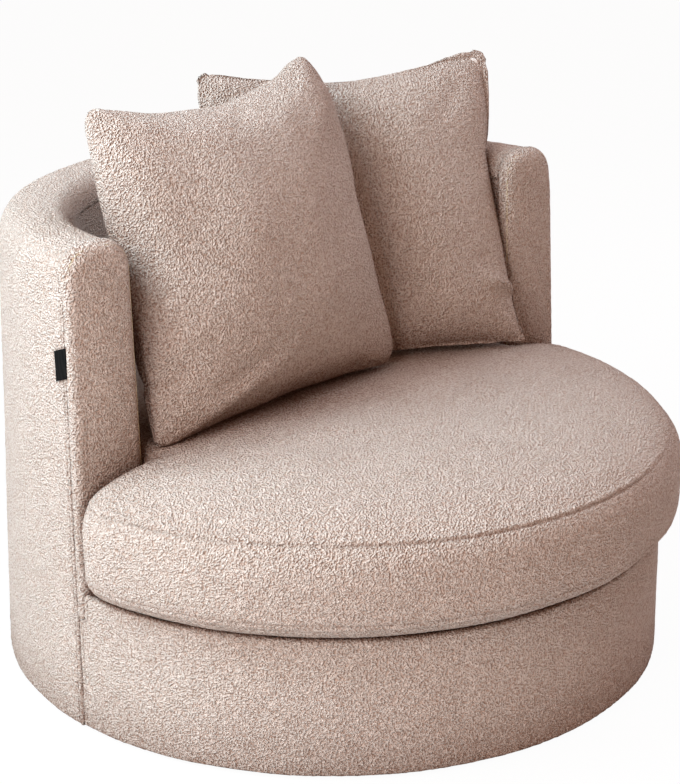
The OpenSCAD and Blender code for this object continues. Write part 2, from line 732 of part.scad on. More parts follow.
floor_felt();
plinth();
swivel_lower_plate();
swivel_balls();
swivel_rivet();
plinth_screws();
swivel_upper_plate();
swivel_screws();
hem_ring();
base_board();
base_blocks();
deck_ring();
lip_rail();
lower_uprights();
upper_uprights();
arm_post(-1);  // arm_post_left
arm_post(1);  // arm_post_right
mid_rail();
top_rail();
rail_screws();
outer_board();
inner_board();
base_front_board();
straps_lengthwise();
straps_crosswise();
deck_pad();
deck_cloth();
tub_foam();
rim_foam();
arm_foam(-1);  // arm_foam_left
arm_foam(1);  // arm_foam_right
outer_wadding();
base_front_wadding();
outer_cover();
inner_cover();
arm_end_cover(-1);  // arm_end_cover_left
arm_end_cover(1);  // arm_end_cover_right
base_front_cover();
dust_cover();
blank_label();
seat_foam();
seat_wrap();
seat_cover_top();
seat_cover_band();
seat_cover_bottom();
seat_zip();
pillow_left_front();
pillow_left_back();
pillow_left_filling();
pillow_right_front();
pillow_right_back();
pillow_right_filling();
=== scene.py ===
# %% [markdown]
# # A round tub chair in looped fabric
# The chair is a padded barrel on a hidden swivel plinth, with a loose seat cushion that overhangs
# its round base, and two loose scatter pillows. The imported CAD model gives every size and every
# moving body. This script dresses it: sewn covers, stuffed cushions, seams, stitches and materials.

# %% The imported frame
import json
import math
from contextlib import contextmanager

import bpy
import numpy as np
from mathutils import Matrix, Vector


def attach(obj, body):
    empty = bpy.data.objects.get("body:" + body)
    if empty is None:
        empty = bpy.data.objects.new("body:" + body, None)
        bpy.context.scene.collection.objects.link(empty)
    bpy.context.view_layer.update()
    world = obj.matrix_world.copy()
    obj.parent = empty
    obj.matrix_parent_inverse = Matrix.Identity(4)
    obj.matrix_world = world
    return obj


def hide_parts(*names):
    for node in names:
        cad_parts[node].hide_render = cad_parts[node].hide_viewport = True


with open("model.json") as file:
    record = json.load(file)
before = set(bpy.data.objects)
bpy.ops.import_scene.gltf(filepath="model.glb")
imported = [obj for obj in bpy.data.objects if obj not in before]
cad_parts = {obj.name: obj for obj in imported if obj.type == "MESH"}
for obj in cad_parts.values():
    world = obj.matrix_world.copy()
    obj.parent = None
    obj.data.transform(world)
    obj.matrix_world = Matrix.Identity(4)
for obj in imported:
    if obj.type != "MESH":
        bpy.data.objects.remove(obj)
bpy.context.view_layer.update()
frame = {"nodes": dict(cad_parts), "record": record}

# %% [markdown]
# ## The chair's own sizes
# Every piece is placed by the sizes that the frame was built with, in metres, so a cover lies on
# the foam under it without any fitting. The arm ends lie in one plane that leans back.

# %% Sizes of the body
BODY_R, RIM_R, TUB_R = 0.500, 0.480, 0.375
RIM_H, RIM_ROUND, HEM_GAP = 0.680, 0.038, 0.005
ARM_FOOT, ARM_HEAD = 0.031, 0.004
COVER_T, DECK_RING_TOP, LIP_TOP, FLAP_W = 0.003, 0.168, 0.189, 0.042
RIM_START = RIM_H - RIM_ROUND


def body_at(z):
    """Radius of the upholstered outside at a height."""
    return BODY_R - (BODY_R - RIM_R) * z / RIM_H


def arm_plane(z):
    """Place in y of the arm ends' leaning plane at a height."""
    return -(ARM_FOOT - (ARM_FOOT - ARM_HEAD) * z / RIM_H)


# %% Sizes of the seat cushion
DECK_TOP, CROWN_H, WAIST_H = 0.178, 0.388, 0.270
SEAT_R, TOP_SEAM_H, LOW_SEAM_H = 0.5215, 0.340, 0.200
ZIP_H, ZIP_W = 0.262, 0.008
SEAT_SWELL = 3.9
BELLY_GAP = 0.0025


def half_swell(share):
    """Height of the cushion's outline at a share of its radius, as a share of its greatest."""
    s = np.clip(share, 0, 1)
    return np.maximum(1 - s**SEAT_SWELL, 0) ** (1 / SEAT_SWELL)


FLAP_R = body_at(LIP_TOP) - FLAP_W
BELLY_D = (WAIST_H - LIP_TOP - COVER_T - BELLY_GAP) / float(half_swell(FLAP_R / SEAT_R))
print("flap radius", round(FLAP_R, 4), "belly", round(BELLY_D, 4))

# %% [markdown]
# ## Camera
# The photograph looks down on the chair from its front left corner, with a long lens. The picture
# is 680 by 784, and the shift moves the frame without tilting the camera.

# %% Camera
CAMERA_PLACE = (-1.8907, -1.9847, 1.3141)
CAMERA_AIM = (0.0, 0.0, 0.3)
CAMERA_LENS = 88.31
CAMERA_SHIFT = (0.0086, 0.0595)

bpy.ops.object.camera_add(location=CAMERA_PLACE)
camera = bpy.context.object
camera.name = "studio_camera"
camera.data.lens = CAMERA_LENS
camera.data.shift_x, camera.data.shift_y = CAMERA_SHIFT
look = Vector(CAMERA_AIM) - Vector(CAMERA_PLACE)
camera.rotation_euler = look.to_track_quat("-Z", "Y").to_euler()
bpy.context.scene.camera = camera
print("camera", [round(v, 3) for v in camera.rotation_euler])

# %% [markdown]
# ## Making a sewn panel
# A sewn panel is one sheet of cloth that is pulled over padding. In Blender a flat grid is the
# same thing, so each panel starts as a grid primitive, and its points are then moved over the
# padding, as a sculptor would pull them. Where the panel closes on itself, its edges are merged.


# %% Selecting, editing and joining
def make_active(piece):
    bpy.ops.object.select_all(action="DESELECT")
    piece.select_set(True)
    bpy.context.view_layer.objects.active = piece


@contextmanager
def editing(piece):
    """Edit mode on a piece, with all its points selected."""
    make_active(piece)
    bpy.ops.object.mode_set(mode="EDIT")
    bpy.ops.mesh.select_all(action="SELECT")
    yield
    bpy.ops.object.mode_set(mode="OBJECT")


def join_to(piece, others):
    make_active(piece)
    for other in others:
        other.select_set(True)
    bpy.ops.object.join()


def apply_modifier(piece, modifier):
    make_active(piece)
    bpy.ops.object.modifier_apply(modifier=modifier.name)


# %% Panels and their cloth
WELD = 0.00002  # points nearer than this are one


def sewn_panel(name, points, closed=False, turned=False):
    """A grid primitive whose points are moved to points, an array of rows, columns and x, y, z."""
    rows, columns = points.shape[:2]
    bpy.ops.mesh.primitive_grid_add(x_subdivisions=columns - 1, y_subdivisions=rows - 1, size=1)
    piece = bpy.context.object
    piece.name = piece.data.name = name
    piece.data.vertices.foreach_set("co", np.asarray(points, np.float32).ravel())
    with editing(piece):
        bpy.ops.mesh.remove_doubles(threshold=WELD)
        if closed:
            bpy.ops.mesh.normals_make_consistent(inside=False)
        elif turned:
            bpy.ops.mesh.flip_normals()
    bpy.ops.object.shade_smooth()
    return piece


def thicken(piece, thickness=COVER_T):
    """Gives an open panel the thickness of its cloth, inwards from the face that shows."""
    wall = piece.modifiers.new("cloth", "SOLIDIFY")
    wall.thickness = thickness
    wall.offset = -1
    apply_modifier(piece, wall)
    print(piece.name, len(piece.data.polygons), "faces")
    return piece


# %% [markdown]
# ## Softness
# Real padding is never quite even. Two small moves make that: long low waves, where the filling
# lies thicker or thinner, and a fine roughness of the loops themselves, which breaks the outline
# as the pile of the real fabric does. Both come from seeded numbers, so each run is the same.


# %% Waves and roughness
def long_waves(points, length, height, seed):
    """Heights of low waves of about that length at points, an array that ends in x, y, z."""
    rng = np.random.default_rng(seed)
    total = np.zeros(points.shape[:-1])
    for _ in range(7):
        way = rng.normal(size=3)
        way *= rng.uniform(0.6, 1.5) / np.linalg.norm(way)
        total += np.sin(points @ way * (2 * math.pi / length) + rng.uniform(0, 2 * math.pi))
    return total * height / 7**0.5


def grid_normals(points, wrapped=False):
    """Unit normals of a grid of points, by the differences along its rows and columns."""
    if wrapped:
        across = np.roll(points, -1, 1) - np.roll(points, 1, 1)
    else:
        across = np.gradient(points, axis=1)
    along = np.gradient(points, axis=0)
    n = np.cross(across, along)
    size = np.linalg.norm(n, axis=-1, keepdims=True)
    return n / np.maximum(size, 1e-12)


def turned_out(face, points, at):
    """Normals, all turned over if the one at a row and column points to the chair's axis."""
    return face if face[at][:2] @ points[at][:2] > 0 else -face


def smooth_step(x):
    x = np.clip(x, 0, 1)
    return x * x * (3 - 2 * x)


def grooves(distance, *lines):
    """Grooves side by side; each line gives a place, a depth, below 0 for a ridge, and a width."""
    return sum(-depth * np.exp(-(((distance - at) / width) ** 2)) for at, depth, width in lines)


def loop_roughness(shape, height, seed):
    return np.random.default_rng(seed).normal(size=shape) * height


def uneven(points, length, height, rough, seed):
    """Long waves and the roughness of the loops together, from two seeds in a row."""
    return long_waves(points, length, height, seed) + loop_roughness(points.shape[:2], rough, seed + 1)


# %% [markdown]
# ## Outside cover
# One length of fabric runs round the back of the barrel from arm to arm. It starts in a rolled
# hem just over the floor, climbs the tapered wall and turns over the soft rim to the tub's
# inside edge, with no seam on the rim. At each arm it ends in a seam. On the outside that seam
# lies beside the corner and is pressed in by its stitching; over the rim it closes and vanishes.

# %% Outline of the wall, up and over the rim
CORNER_TIGHT, CORNER_SOFT = 0.0115, 0.018
SEAM_DEEP, SEAM_WIDE = 0.0036, 0.0013
OUT_CENTRE = body_at(RIM_START) - RIM_ROUND
IN_CENTRE = TUB_R + RIM_ROUND
HEM_ROLL, CROWN_RISE = 0.003, 0.0015


def arc(cx, cz, r, a0, a1, steps):
    a = np.radians(np.linspace(a0, a1, steps + 1))
    return np.stack([cx + r * np.cos(a), cz + r * np.sin(a)], 1)


def hem_arc():
    z = HEM_GAP + HEM_ROLL
    return arc(body_at(z) - HEM_ROLL, z, HEM_ROLL, -200, 0, 6)


def rim_line(side_steps, low):
    """The wall's outline from its hem or a low height, over the rim, down to the inner seam."""
    z = np.linspace(low, RIM_START, side_steps)[1:-1]
    wall = np.stack([body_at(z), z], 1)
    flat = np.linspace(OUT_CENTRE, IN_CENTRE, 7)[1:-1]
    crown = CROWN_RISE * np.sin(np.linspace(0, math.pi, 7))[1:-1]
    top = np.stack([flat, RIM_H + crown], 1)
    return np.concatenate([
        wall,
        arc(OUT_CENTRE, RIM_START, RIM_ROUND, 0, 90, 12),
        top,
        arc(IN_CENTRE, RIM_START, RIM_ROUND, 90, 180, 12),
    ])


def corner_round(line):
    """How far behind the arm plane the cover ends: little on the outside, more over the rim."""
    over = smooth_step((line[:, 1] - (RIM_START - 0.04)) / 0.06)
    inside = (line[:, 0] < (OUT_CENTRE + IN_CENTRE) / 2).astype(float)
    return CORNER_TIGHT + (CORNER_SOFT - CORNER_TIGHT) * np.maximum(over, inside)


# %% Outside cover
SEAM_COLUMNS = (0, 0.001, 0.002, 0.0033, 0.005, 0.0067, 0.0075, 0.0083, 0.0092, 0.0110, 0.0140)
COLUMN_STEP, SEAM_FADE, STILL_EDGE = 0.0056, 0.004, 0.010
EDGE_SEAM, EDGE_RIDGE = (0, SEAM_DEEP, SEAM_WIDE), (0.004, -0.0013, 0.0016)
EDGE_STITCHES = (0.008, 0.002, 0.001)
RIM_TUCK = [[TUB_R + 0.0006, RIM_START - 0.001], [TUB_R + 0.0022, RIM_START - 0.002]]


def column_shares(length, step=COLUMN_STEP):
    """Places of the columns across a panel, as shares, closer together beside its two seams."""
    edge = SEAM_COLUMNS
    middle = np.linspace(edge[-1], length - edge[-1], int(length / step))
    x = np.concatenate([edge[:-1], middle, [length - e for e in edge[-2::-1]]])
    return x / length, np.minimum(x, length - x)


def around_axis(line, start, end, shares):
    """A grid: a line of radius and height, turned about the chair's axis from start to end."""
    r, z = line[:, :1], line[:, 1:]
    turn = start + (end - start) * shares[None, :]
    return np.stack([r * np.cos(turn), r * np.sin(turn), z + 0 * turn], -1)


def around_back(line, ends, shares):
    """A grid over the back of the barrel, from the right arm's seam to the left one's."""
    start = np.arcsin((arm_plane(line[:, 1:]) + ends[:, None]) / line[:, :1])
    return around_axis(line, start, math.pi - start, shares)


outer_line = np.concatenate([hem_arc(), rim_line(104, HEM_GAP + HEM_ROLL), RIM_TUCK])
outer_ends = corner_round(outer_line)
outer_shares, outer_from_seam = column_shares(math.pi * BODY_R)
outer_points = around_back(outer_line, outer_ends, outer_shares)
outer_face = turned_out(grid_normals(outer_points), outer_points, (60, 100))
tight = 1 - smooth_step((outer_ends - CORNER_TIGHT) / SEAM_FADE)[:, None]
moved = uneven(outer_points, 0.17, 0.0007, 0.00022, 3)
moved = moved + tight * grooves(outer_from_seam, EDGE_SEAM, EDGE_RIDGE, EDGE_STITCHES)
moved = moved * np.where(tight > 0.5, 1, smooth_step(outer_from_seam / STILL_EDGE))
outer_cover = thicken(sewn_panel("outer_cover_dressed", outer_points + outer_face * moved[..., None]))

# %% [markdown]
# ## Inside cover
# The inside of the tub has its own panel, from the deck up to a seam under the rim. It is pulled
# tight over flat foam, so it stays a plain curved sheet with a few slow waves.

# %% Inside cover
INNER_ROWS, INNER_STEP, INNER_TUCK = 74, 0.0064, 0.0022
inner_z = np.linspace(RIM_START - 0.0012, DECK_RING_TOP + 0.003, INNER_ROWS)
inner_r = TUB_R + INNER_TUCK * np.exp(-((RIM_START - inner_z) / INNER_TUCK) ** 2)
inner_line, inner_ends = np.stack([inner_r, inner_z], 1), np.full(INNER_ROWS, CORNER_SOFT)
inner_shares, inner_from_seam = column_shares(math.pi * TUB_R, INNER_STEP)
inner_points = around_back(inner_line, inner_ends, inner_shares)
inner_face = -inner_points * [1, 1, 0]
inner_face /= np.linalg.norm(inner_face, axis=-1, keepdims=True)
moved = (uneven(inner_points, 0.15, 0.0005, 0.0002, 8) - 0.0004) * smooth_step(inner_from_seam / STILL_EDGE)
inner_cover = thicken(sewn_panel("inner_cover_dressed", inner_points + inner_face * moved[..., None]))

# %% [markdown]
# ## Arm ends
# Each arm ends in a padded panel. Its outer edge is stitched hard against the outside cover, and
# its top and inner edges roll over softly. The panel is drawn as lines that run in from its
# outline to a spine up its middle: first round the corner, then over a slightly swollen face.

# %% Arm end panels
ARM_SWELL, SPINE_DROP = 0.0028, 0.052
ARM_ROWS, ARM_CORNER_STEPS, ARM_FACE_STEPS = 84, 7, 9
ARM_SEAM, ARM_STITCHES = (0, SEAM_DEEP * 0.7, 0.0009), (0.010, 0.0006, 0.0013)


def arm_end_points(side):
    half = rim_line(ARM_ROWS, DECK_RING_TOP)
    down = half[:ARM_ROWS - 2, 1][::-1]
    line = np.concatenate([[[body_at(DECK_RING_TOP), DECK_RING_TOP]], half,
                           np.stack([0 * down + TUB_R, down], 1), [[TUB_R, DECK_RING_TOP]]])
    z_spine = np.minimum(line[:, 1], RIM_H - SPINE_DROP)
    spine = np.stack([(body_at(z_spine) + TUB_R) / 2, z_spine], 1)
    full = np.linalg.norm(spine - line, axis=1)
    way = (spine - line) / full[:, None]
    bend = corner_round(line)
    turn = np.radians(np.linspace(0, 90, ARM_CORNER_STEPS + 1))
    inset = [bend * (1 - math.cos(a)) for a in turn]
    back = [bend * (1 - math.sin(a)) for a in turn]
    for t in np.linspace(0, 1, ARM_FACE_STEPS + 1)[1:] ** 0.85:
        inset.append(bend + (full - bend) * t)
        back.append(-ARM_SWELL * np.sin(t * math.pi / 2) + 0 * bend)
    inset, back = np.array(inset), np.array(back)
    r, z = line[:, 0] + way[:, 0] * inset, line[:, 1] + way[:, 1] * inset
    tight = 1 - smooth_step((bend - CORNER_TIGHT) / SEAM_FADE)
    r = r + grooves(inset, ARM_SEAM) * tight
    y = arm_plane(z) + back + grooves(inset, ARM_STITCHES) * tight
    return np.stack([side * np.sqrt(r**2 - y**2), y, z], -1)


arm_ends = {}
for side, side_name in ((-1, "left"), (1, "right")):
    points = arm_end_points(side)
    face = grid_normals(points)
    if face[-3, 40, 1] > 0:
        face = -face
    row = np.arange(len(points))
    middle = smooth_step(row / 6) * np.minimum(1, len(points) - 1 - row)
    moved = loop_roughness(points.shape[:2], 0.0002, 20 + side) * middle[:, None]
    arm_ends[side_name] = thicken(sewn_panel(
        f"arm_end_{side_name}_dressed", points + face * moved[..., None], turned=side > 0))

# %% [markdown]
# ## Cover round the front of the base
# Under the seat a low curved panel closes the front. It rolls under at the hem, turns over the
# soft lip at the top and is folded in under the cushion.

# %% Base front cover
LIP_ROUND, LIP_RISE, FLAP_START = 0.006, 0.009, 0.013
FRONT_STITCHES = (0.008, 0.0014, 0.0011)
lip_z = LIP_TOP + LIP_RISE
lip_centre = body_at(lip_z) - LIP_ROUND
front_z = np.linspace(HEM_GAP + HEM_ROLL, lip_z, 34)[1:-1]
flap = np.linspace(lip_centre - FLAP_START, FLAP_R, 8)
front_line = np.concatenate([
    hem_arc(), np.stack([body_at(front_z), front_z], 1),
    arc(lip_centre, lip_z, LIP_ROUND, 0, 142, 10),
    np.stack([flap, np.full(len(flap), LIP_TOP + COVER_T)], 1)])
front_shares, front_from_seam = column_shares(math.pi * BODY_R)
z = front_line[:, 1:]
front_end = arm_plane(z) + np.where(z > DECK_RING_TOP - 0.002, -0.0005, CORNER_TIGHT)
start = np.arcsin(front_end / front_line[:, :1])
front_points = around_axis(front_line, -math.pi - start, start, front_shares)
front_face = turned_out(grid_normals(front_points), front_points, (20, 100))
moved = uneven(front_points, 0.15, 0.0006, 0.00022, 13)
moved = moved + grooves(front_from_seam, EDGE_SEAM, FRONT_STITCHES)
base_front = thicken(sewn_panel("base_front_dressed", front_points + front_face * moved[..., None]))

# %% [markdown]
# ## Seat cushion
# The cushion is a thick foam block in a sewn case: a domed top panel, a band and a bottom panel.
# In front it is a round swollen drum that overhangs the base, beside the arms its corners are
# rounded, and behind them it narrows to fit the tub. It is stuffed tight, so it is built as a
# surface: lines run out from one point over the top, round the side and back under. The rows that
# carry the two seams keep one height all round, as a cut pattern would.

# %% Outline of the cushion seen from above
SEAT_SETBACK, TUB_GAP, EAR_ROUND = 0.0042, 0.0012, 0.050
SEAT_HUB = np.array([0.0, -0.2])


def seat_outline(count, depth):
    """Points round the cushion, spaced evenly, and which of them the front's own swell closes."""
    face = arm_plane(WAIST_H) - SEAT_SETBACK - depth
    radius, tub = SEAT_R - depth, TUB_R - TUB_GAP - depth
    bend = EAR_ROUND - depth
    mid_y = face - bend
    mid_x = math.sqrt((radius - bend) ** 2 - mid_y**2)
    meet = math.atan2(mid_y, mid_x)
    a = np.linspace(-math.pi - meet, meet, 900)
    front = np.stack([radius * np.cos(a), radius * np.sin(a)], 1)
    a = np.linspace(meet, math.pi / 2, 60)[1:]
    ear = np.stack([mid_x + bend * np.cos(a), mid_y + bend * np.sin(a)], 1)
    tub_x = math.sqrt(tub**2 - face**2)
    beside = np.stack([np.linspace(mid_x, tub_x, 60)[1:], np.full(59, face)], 1)
    a = np.linspace(math.atan2(face, tub_x), math.pi / 2, 400)[1:]
    back = np.stack([tub * np.cos(a), tub * np.sin(a)], 1)
    half = np.concatenate([ear, beside, back])
    other = half[::-1][1:] * [-1, 1]
    ring = np.concatenate([front, half, other])
    along = np.concatenate([[0], np.cumsum(np.linalg.norm(np.diff(ring, axis=0), axis=1))])
    at = np.linspace(0, along[-1], count + 1)
    even = np.stack([np.interp(at, along, ring[:, i]) for i in (0, 1)], 1)
    closing = np.concatenate([half, other])[::3]
    return even, closing


# %% Surface of the cushion
def from_closing(p, closing):
    """Distance of points from the edges beside the arms and in the tub."""
    flat = p.reshape(-1, 2).astype(np.float32)
    out = np.empty(len(flat), np.float32)
    edge = closing.astype(np.float32)
    for i in range(0, len(flat), 20000):
        d = flat[i:i + 20000, None, :] - edge[None, :, :]
        out[i:i + 20000] = np.sqrt((d**2).sum(-1).min(1))
    return out.reshape(p.shape[:-1])


def edge_fall(distance, reach=0.042, power=4.0):
    """How the height falls to nothing at an edge, as a share."""
    s = 1 - np.clip(distance / reach, 0, 1)
    return np.maximum(1 - s**power, 0) ** (1 / power)


def height_at(s, shares, table):
    return np.array([np.interp(one, shares, column) for one, column in zip(s, table.T)])


def share_at(z, shares, table, way):
    """Where each column of heights, which rise with way 1 and fall with -1, passes a height."""
    return np.array([np.interp(way * z, way * column, shares) for column in table.T])


def seat_surface(columns, top_rows, side_rows, depth=0.0):
    """Grid over the cushion from the middle of its top to the middle of its underside."""
    ring, closing = seat_outline(columns, depth)
    shares = 1 - (1 - np.linspace(0, 1, 260)) ** 2.4
    p = SEAT_HUB + shares[:, None, None] * (ring - SEAT_HUB)[None]
    fall = half_swell(np.linalg.norm(p, axis=-1) / (SEAT_R - depth)) * edge_fall(from_closing(p, closing))
    fall[-1] = 0
    upper = WAIST_H + (CROWN_H - WAIST_H - depth) * fall
    lower = np.maximum(WAIST_H - (BELLY_D - depth) * fall, DECK_TOP + 0.0004 + depth)
    edge = share_at(side_rows[0], shares, upper, -1)
    rows = [(edge * t, height_at(edge * t, shares, upper))
            for t in np.linspace(0, 1, top_rows, endpoint=False)]
    for z in side_rows:
        s = share_at(z, shares, upper, -1) if z >= WAIST_H else share_at(z, shares, lower, 1)
        rows.append((s, np.full(len(s), z)))
    edge = rows[-1][0]
    rows += [(edge * t, height_at(edge * t, shares, lower)) for t in np.linspace(1, 0, 14)[1:]]
    grid = []
    for s, z in rows:
        xy = SEAT_HUB + s[:, None] * (ring - SEAT_HUB)
        near = smooth_step((xy[:, 1] + 0.13) / 0.09) * smooth_step((np.abs(xy[:, 0]) - 0.352) / 0.03)
        xy[:, 1] += (ARM_FOOT - ARM_HEAD) / RIM_H * (z - WAIST_H) * near
        grid.append(np.concatenate([xy, z[:, None]], 1))
    return np.array(grid)


# %% Rows round the side, closer together at the seams
TOP_ROWS = (0.379, 0.374, 0.369, 0.364, 0.359, 0.3545)
SEAM_STEPS = np.array([0.0115, 0.0085, 0.0062, 0.0044, 0.0030, 0.0018, 0.0008])
BAND_ENDS, BAND_ROWS = (TOP_SEAM_H - 0.016, LOW_SEAM_H + 0.0410), 17
LOW_STEPS = np.array([0.0385, 0.0368, 0.0350, 0.0332, 0.0315, 0.0290, 0.0263, 0.0245, 0.0228,
                      0.0210, 0.0180, 0.0150, 0.0120, 0.0098, 0.0080, 0.0065, 0.0050, 0.0036,
                      0.0022, 0.0010, 0.0, -0.0010, -0.0024, -0.0045, -0.0075, -0.0110])
UNDER_ROWS = (0.1855, 0.1825, 0.1805)
seat_rows = [*TOP_ROWS, *(TOP_SEAM_H + SEAM_STEPS), TOP_SEAM_H, *(TOP_SEAM_H - SEAM_STEPS[::-1]),
             *np.linspace(*BAND_ENDS, BAND_ROWS), *(LOW_SEAM_H + LOW_STEPS), *UNDER_ROWS]
print("rows round the side", len(seat_rows))

# %% Seat cushion
CROWN_ROWS, SEAT_COLUMNS = 62, 560
TOP_LINES = ((0, 0.0020, 0.0012), (0.0034, -0.0016, 0.0020), (0.0080, 0.0005, 0.0020))
LOW_LINES = ((0, 0.0022, 0.0014), (0.0245, 0.0013, 0.0012), (0.0350, 0.0013, 0.0012),
             (0.0290, -0.0007, 0.0030), (0.0045, -0.0006, 0.0020))
seat_points = seat_surface(SEAT_COLUMNS, CROWN_ROWS, seat_rows)
seat_face = grid_normals(seat_points[:, :-1], wrapped=True)
seat_face = np.concatenate([seat_face, seat_face[:, :1]], 1)
seat_face = turned_out(seat_face, seat_points, (90, 200))
x, y, z = np.moveaxis(seat_points, -1, 0)
row = np.arange(len(seat_points))[:, None]
on_side = (row >= CROWN_ROWS) & (row < CROWN_ROWS + len(seat_rows))
turn = np.degrees(np.arctan2(y, x)) % 360
shown = 1 - 0.8 * smooth_step((turn - 276) / 22) - 0.5 * smooth_step((196 - turn) / 14) * (turn > 90)
moved = long_waves(seat_points, 0.21, 0.0011, 31)
moved += on_side * shown * grooves(z - TOP_SEAM_H, *TOP_LINES)
moved += on_side * grooves(z - LOW_SEAM_H, *LOW_LINES)

# %% [markdown]
# The roughness fades where the lines meet on top. Beside the arms and in the tub the case is
# pressed flat, and its underside lies plain on the deck.

# %% Roughness and the sewn case
rough = loop_roughness(seat_points.shape[:2], 0.00024, 32)
rough[:, -1] = rough[:, 0]
rough *= smooth_step(np.linalg.norm(seat_points[..., :2] - SEAT_HUB, axis=-1) / 0.16)
pinch = smooth_step((y + 0.035) / 0.02)
moved = np.where(pinch > 0, np.minimum(moved, 0.0006), moved) + rough * np.minimum(1, 1.3 - pinch)
moved *= np.minimum(1, row / 6) * (z >= 0.186)
seat_points = seat_points + seat_face * moved[..., None]
seat_points[0] = seat_points[0].mean(0)
seat_points[-1] = seat_points[-1].mean(0)
seat_points[:, -1] = seat_points[:, 0]
seat_cushion = sewn_panel("seat_cushion_dressed", seat_points, closed=True)
print("seat cushion", len(seat_cushion.data.polygons), "faces")

# %% [markdown]
# Inside the case lie a fibre wrap and the foam block. They follow the same surface, set in by the
# cloth and by the wrap, with fewer points because nobody sees them until the case is opened.

# %% Fibre wrap and foam block
LAYER_ROWS = (0.372, 0.360, 0.347, 0.330, 0.305, 0.270, 0.235, 0.212, 0.198, 0.1935)
WRAP_DEPTH, WRAP_INSIDE, FOAM_DEPTH = COVER_T + 0.0006, 0.0152, 0.0156
LAYER_COLUMNS, LAYER_TOP_ROWS, LAYER_SHOULDER = 150, 16, 0.004


def seat_layer(name, depth, rows):
    return sewn_panel(name, seat_surface(LAYER_COLUMNS, LAYER_TOP_ROWS, rows, depth), closed=True)


wrap_rows = [h for h in LAYER_ROWS if h < CROWN_H - WRAP_DEPTH - LAYER_SHOULDER]
foam_rows = [h for h in LAYER_ROWS if h < CROWN_H - FOAM_DEPTH - LAYER_SHOULDER]
seat_wrap = seat_layer("seat_wrap_dressed", WRAP_DEPTH, wrap_rows)
hollow = seat_layer("seat_wrap_hollow", WRAP_INSIDE, wrap_rows[1:-1])
with editing(hollow):
    bpy.ops.mesh.flip_normals()
join_to(seat_wrap, [hollow])
seat_foam = seat_layer("seat_foam_dressed", FOAM_DEPTH, foam_rows)

# %% [markdown]
# ## Scatter pillows
# Each pillow is two square panels sewn together round the edge and stuffed. A loose pillow swells
# in the middle, its corners are rounded off and its top edge draws in. Then it is squeezed by all
# that it touches: it sits down on the domed seat, lies along the tub's wall, and presses against
# the other pillow. The squeeze eases each point off what it must not pass, so the far side of the
# pillow moves less than the near side.

# %% Sizes and poses of the pillows
LEFT_SIDE, RIGHT_SIDE, PILLOW_T, DRAW_IN = 0.490, 0.488, 0.130, 0.034
PILLOW_SINK, PILLOW_COVER_T, SOFT_GAP = 0.014, 0.002, 0.0003
LEFT_LEAN, LEFT_YAW, LEFT_ROLL = math.radians(17), math.radians(3.4), math.radians(-1.6)
RIGHT_LEAN, RIGHT_YAW, RIGHT_ROLL = math.radians(20), math.radians(-20), math.radians(-1)
LEFT_X = 0.015 + LEFT_SIDE / 2 - TUB_R
RIGHT_X = TUB_R + 0.034 - RIGHT_SIDE / 2
LEFT_Y, RIGHT_Y, PRESS_BEHIND = 0.068, 0.100, 0.025
SEAT_REACH, TUB_REACH, PILLOW_REACH = 0.060, 0.050, 0.090


def turned_about(p, axis, angle):
    """Points turned about the x, y or z axis."""
    c, s = math.cos(angle), math.sin(angle)
    x, y, z = p[..., 0], p[..., 1], p[..., 2]
    if axis == "x":
        return np.stack([x, y * c - z * s, y * s + z * c], -1)
    if axis == "y":
        return np.stack([x * c + z * s, y, z * c - x * s], -1)
    return np.stack([x * c - y * s, x * s + y * c, z], -1)


def pillow_pose(x, y, side, lean, yaw, roll, press_side):
    middle = np.array([x, y, CROWN_H - PILLOW_SINK + side / 2 * math.cos(lean)])
    return dict(middle=middle, lean=lean, yaw=yaw, roll=roll, press_side=press_side)


left_pose = pillow_pose(LEFT_X, LEFT_Y, LEFT_SIDE, LEFT_LEAN, LEFT_YAW, LEFT_ROLL, 1)
right_pose = pillow_pose(RIGHT_X, RIGHT_Y, RIGHT_SIDE, RIGHT_LEAN, RIGHT_YAW, RIGHT_ROLL, -1)
PRESS_WAY = turned_about(turned_about(np.array([0.0, -1.0, 0.0]), "x", -LEFT_LEAN), "z", RIGHT_YAW)
PRESS_AT = (left_pose["middle"] + right_pose["middle"]) / 2 - PRESS_BEHIND * PRESS_WAY
PRESS_EDGE = LEFT_X + LEFT_SIDE / 2 + PILLOW_SINK


# %% What squeezes a pillow
def squeezed(points, room, ways, deep):
    """Eases points off what they must not pass; room is each one's distance from that."""
    low = min(room.min() / deep, 0)
    x = room / deep
    eased = np.where(x >= 1, x, np.maximum((x - low) / (1 - low), 0) ** (1 - low))
    return points + (deep * eased - room)[..., None] * ways


def crown_at(r):
    return WAIST_H + (CROWN_H - WAIST_H) * half_swell(r / SEAT_R)


def on_seat(p, keep):
    r = np.hypot(p[..., 0], p[..., 1])
    return squeezed(p, p[..., 2] - crown_at(r) - keep, np.array([0.0, 0.0, 1.0]), SEAT_REACH)


def in_tub(p, keep):
    r = np.hypot(p[..., 0], p[..., 1])
    ways = -np.stack([p[..., 0], p[..., 1], 0 * r], -1) / r[..., None]
    return squeezed(p, TUB_R - keep + np.maximum(0, p[..., 2] - RIM_H) - r, ways, TUB_REACH)


def pressed(p, side, keep):
    room = side * ((p - PRESS_AT) @ PRESS_WAY) - keep
    if side < 0:
        room = room + np.maximum(0, p[..., 0] - PRESS_EDGE)
    way = side * PRESS_WAY * [1, 1, 0] / (1 - PRESS_WAY[2] ** 2)
    return squeezed(p, room, way, PILLOW_REACH)


# %% [markdown]
# The panels are first blown up as cloth, which gives the small puckers beside the seam that no
# formula has, and a cap keeps each point near the plain swollen form. Then come the pile's own
# thickness, which rounds the rim, a few folds where a hand has pushed the pillow into place, and
# the squeeze.


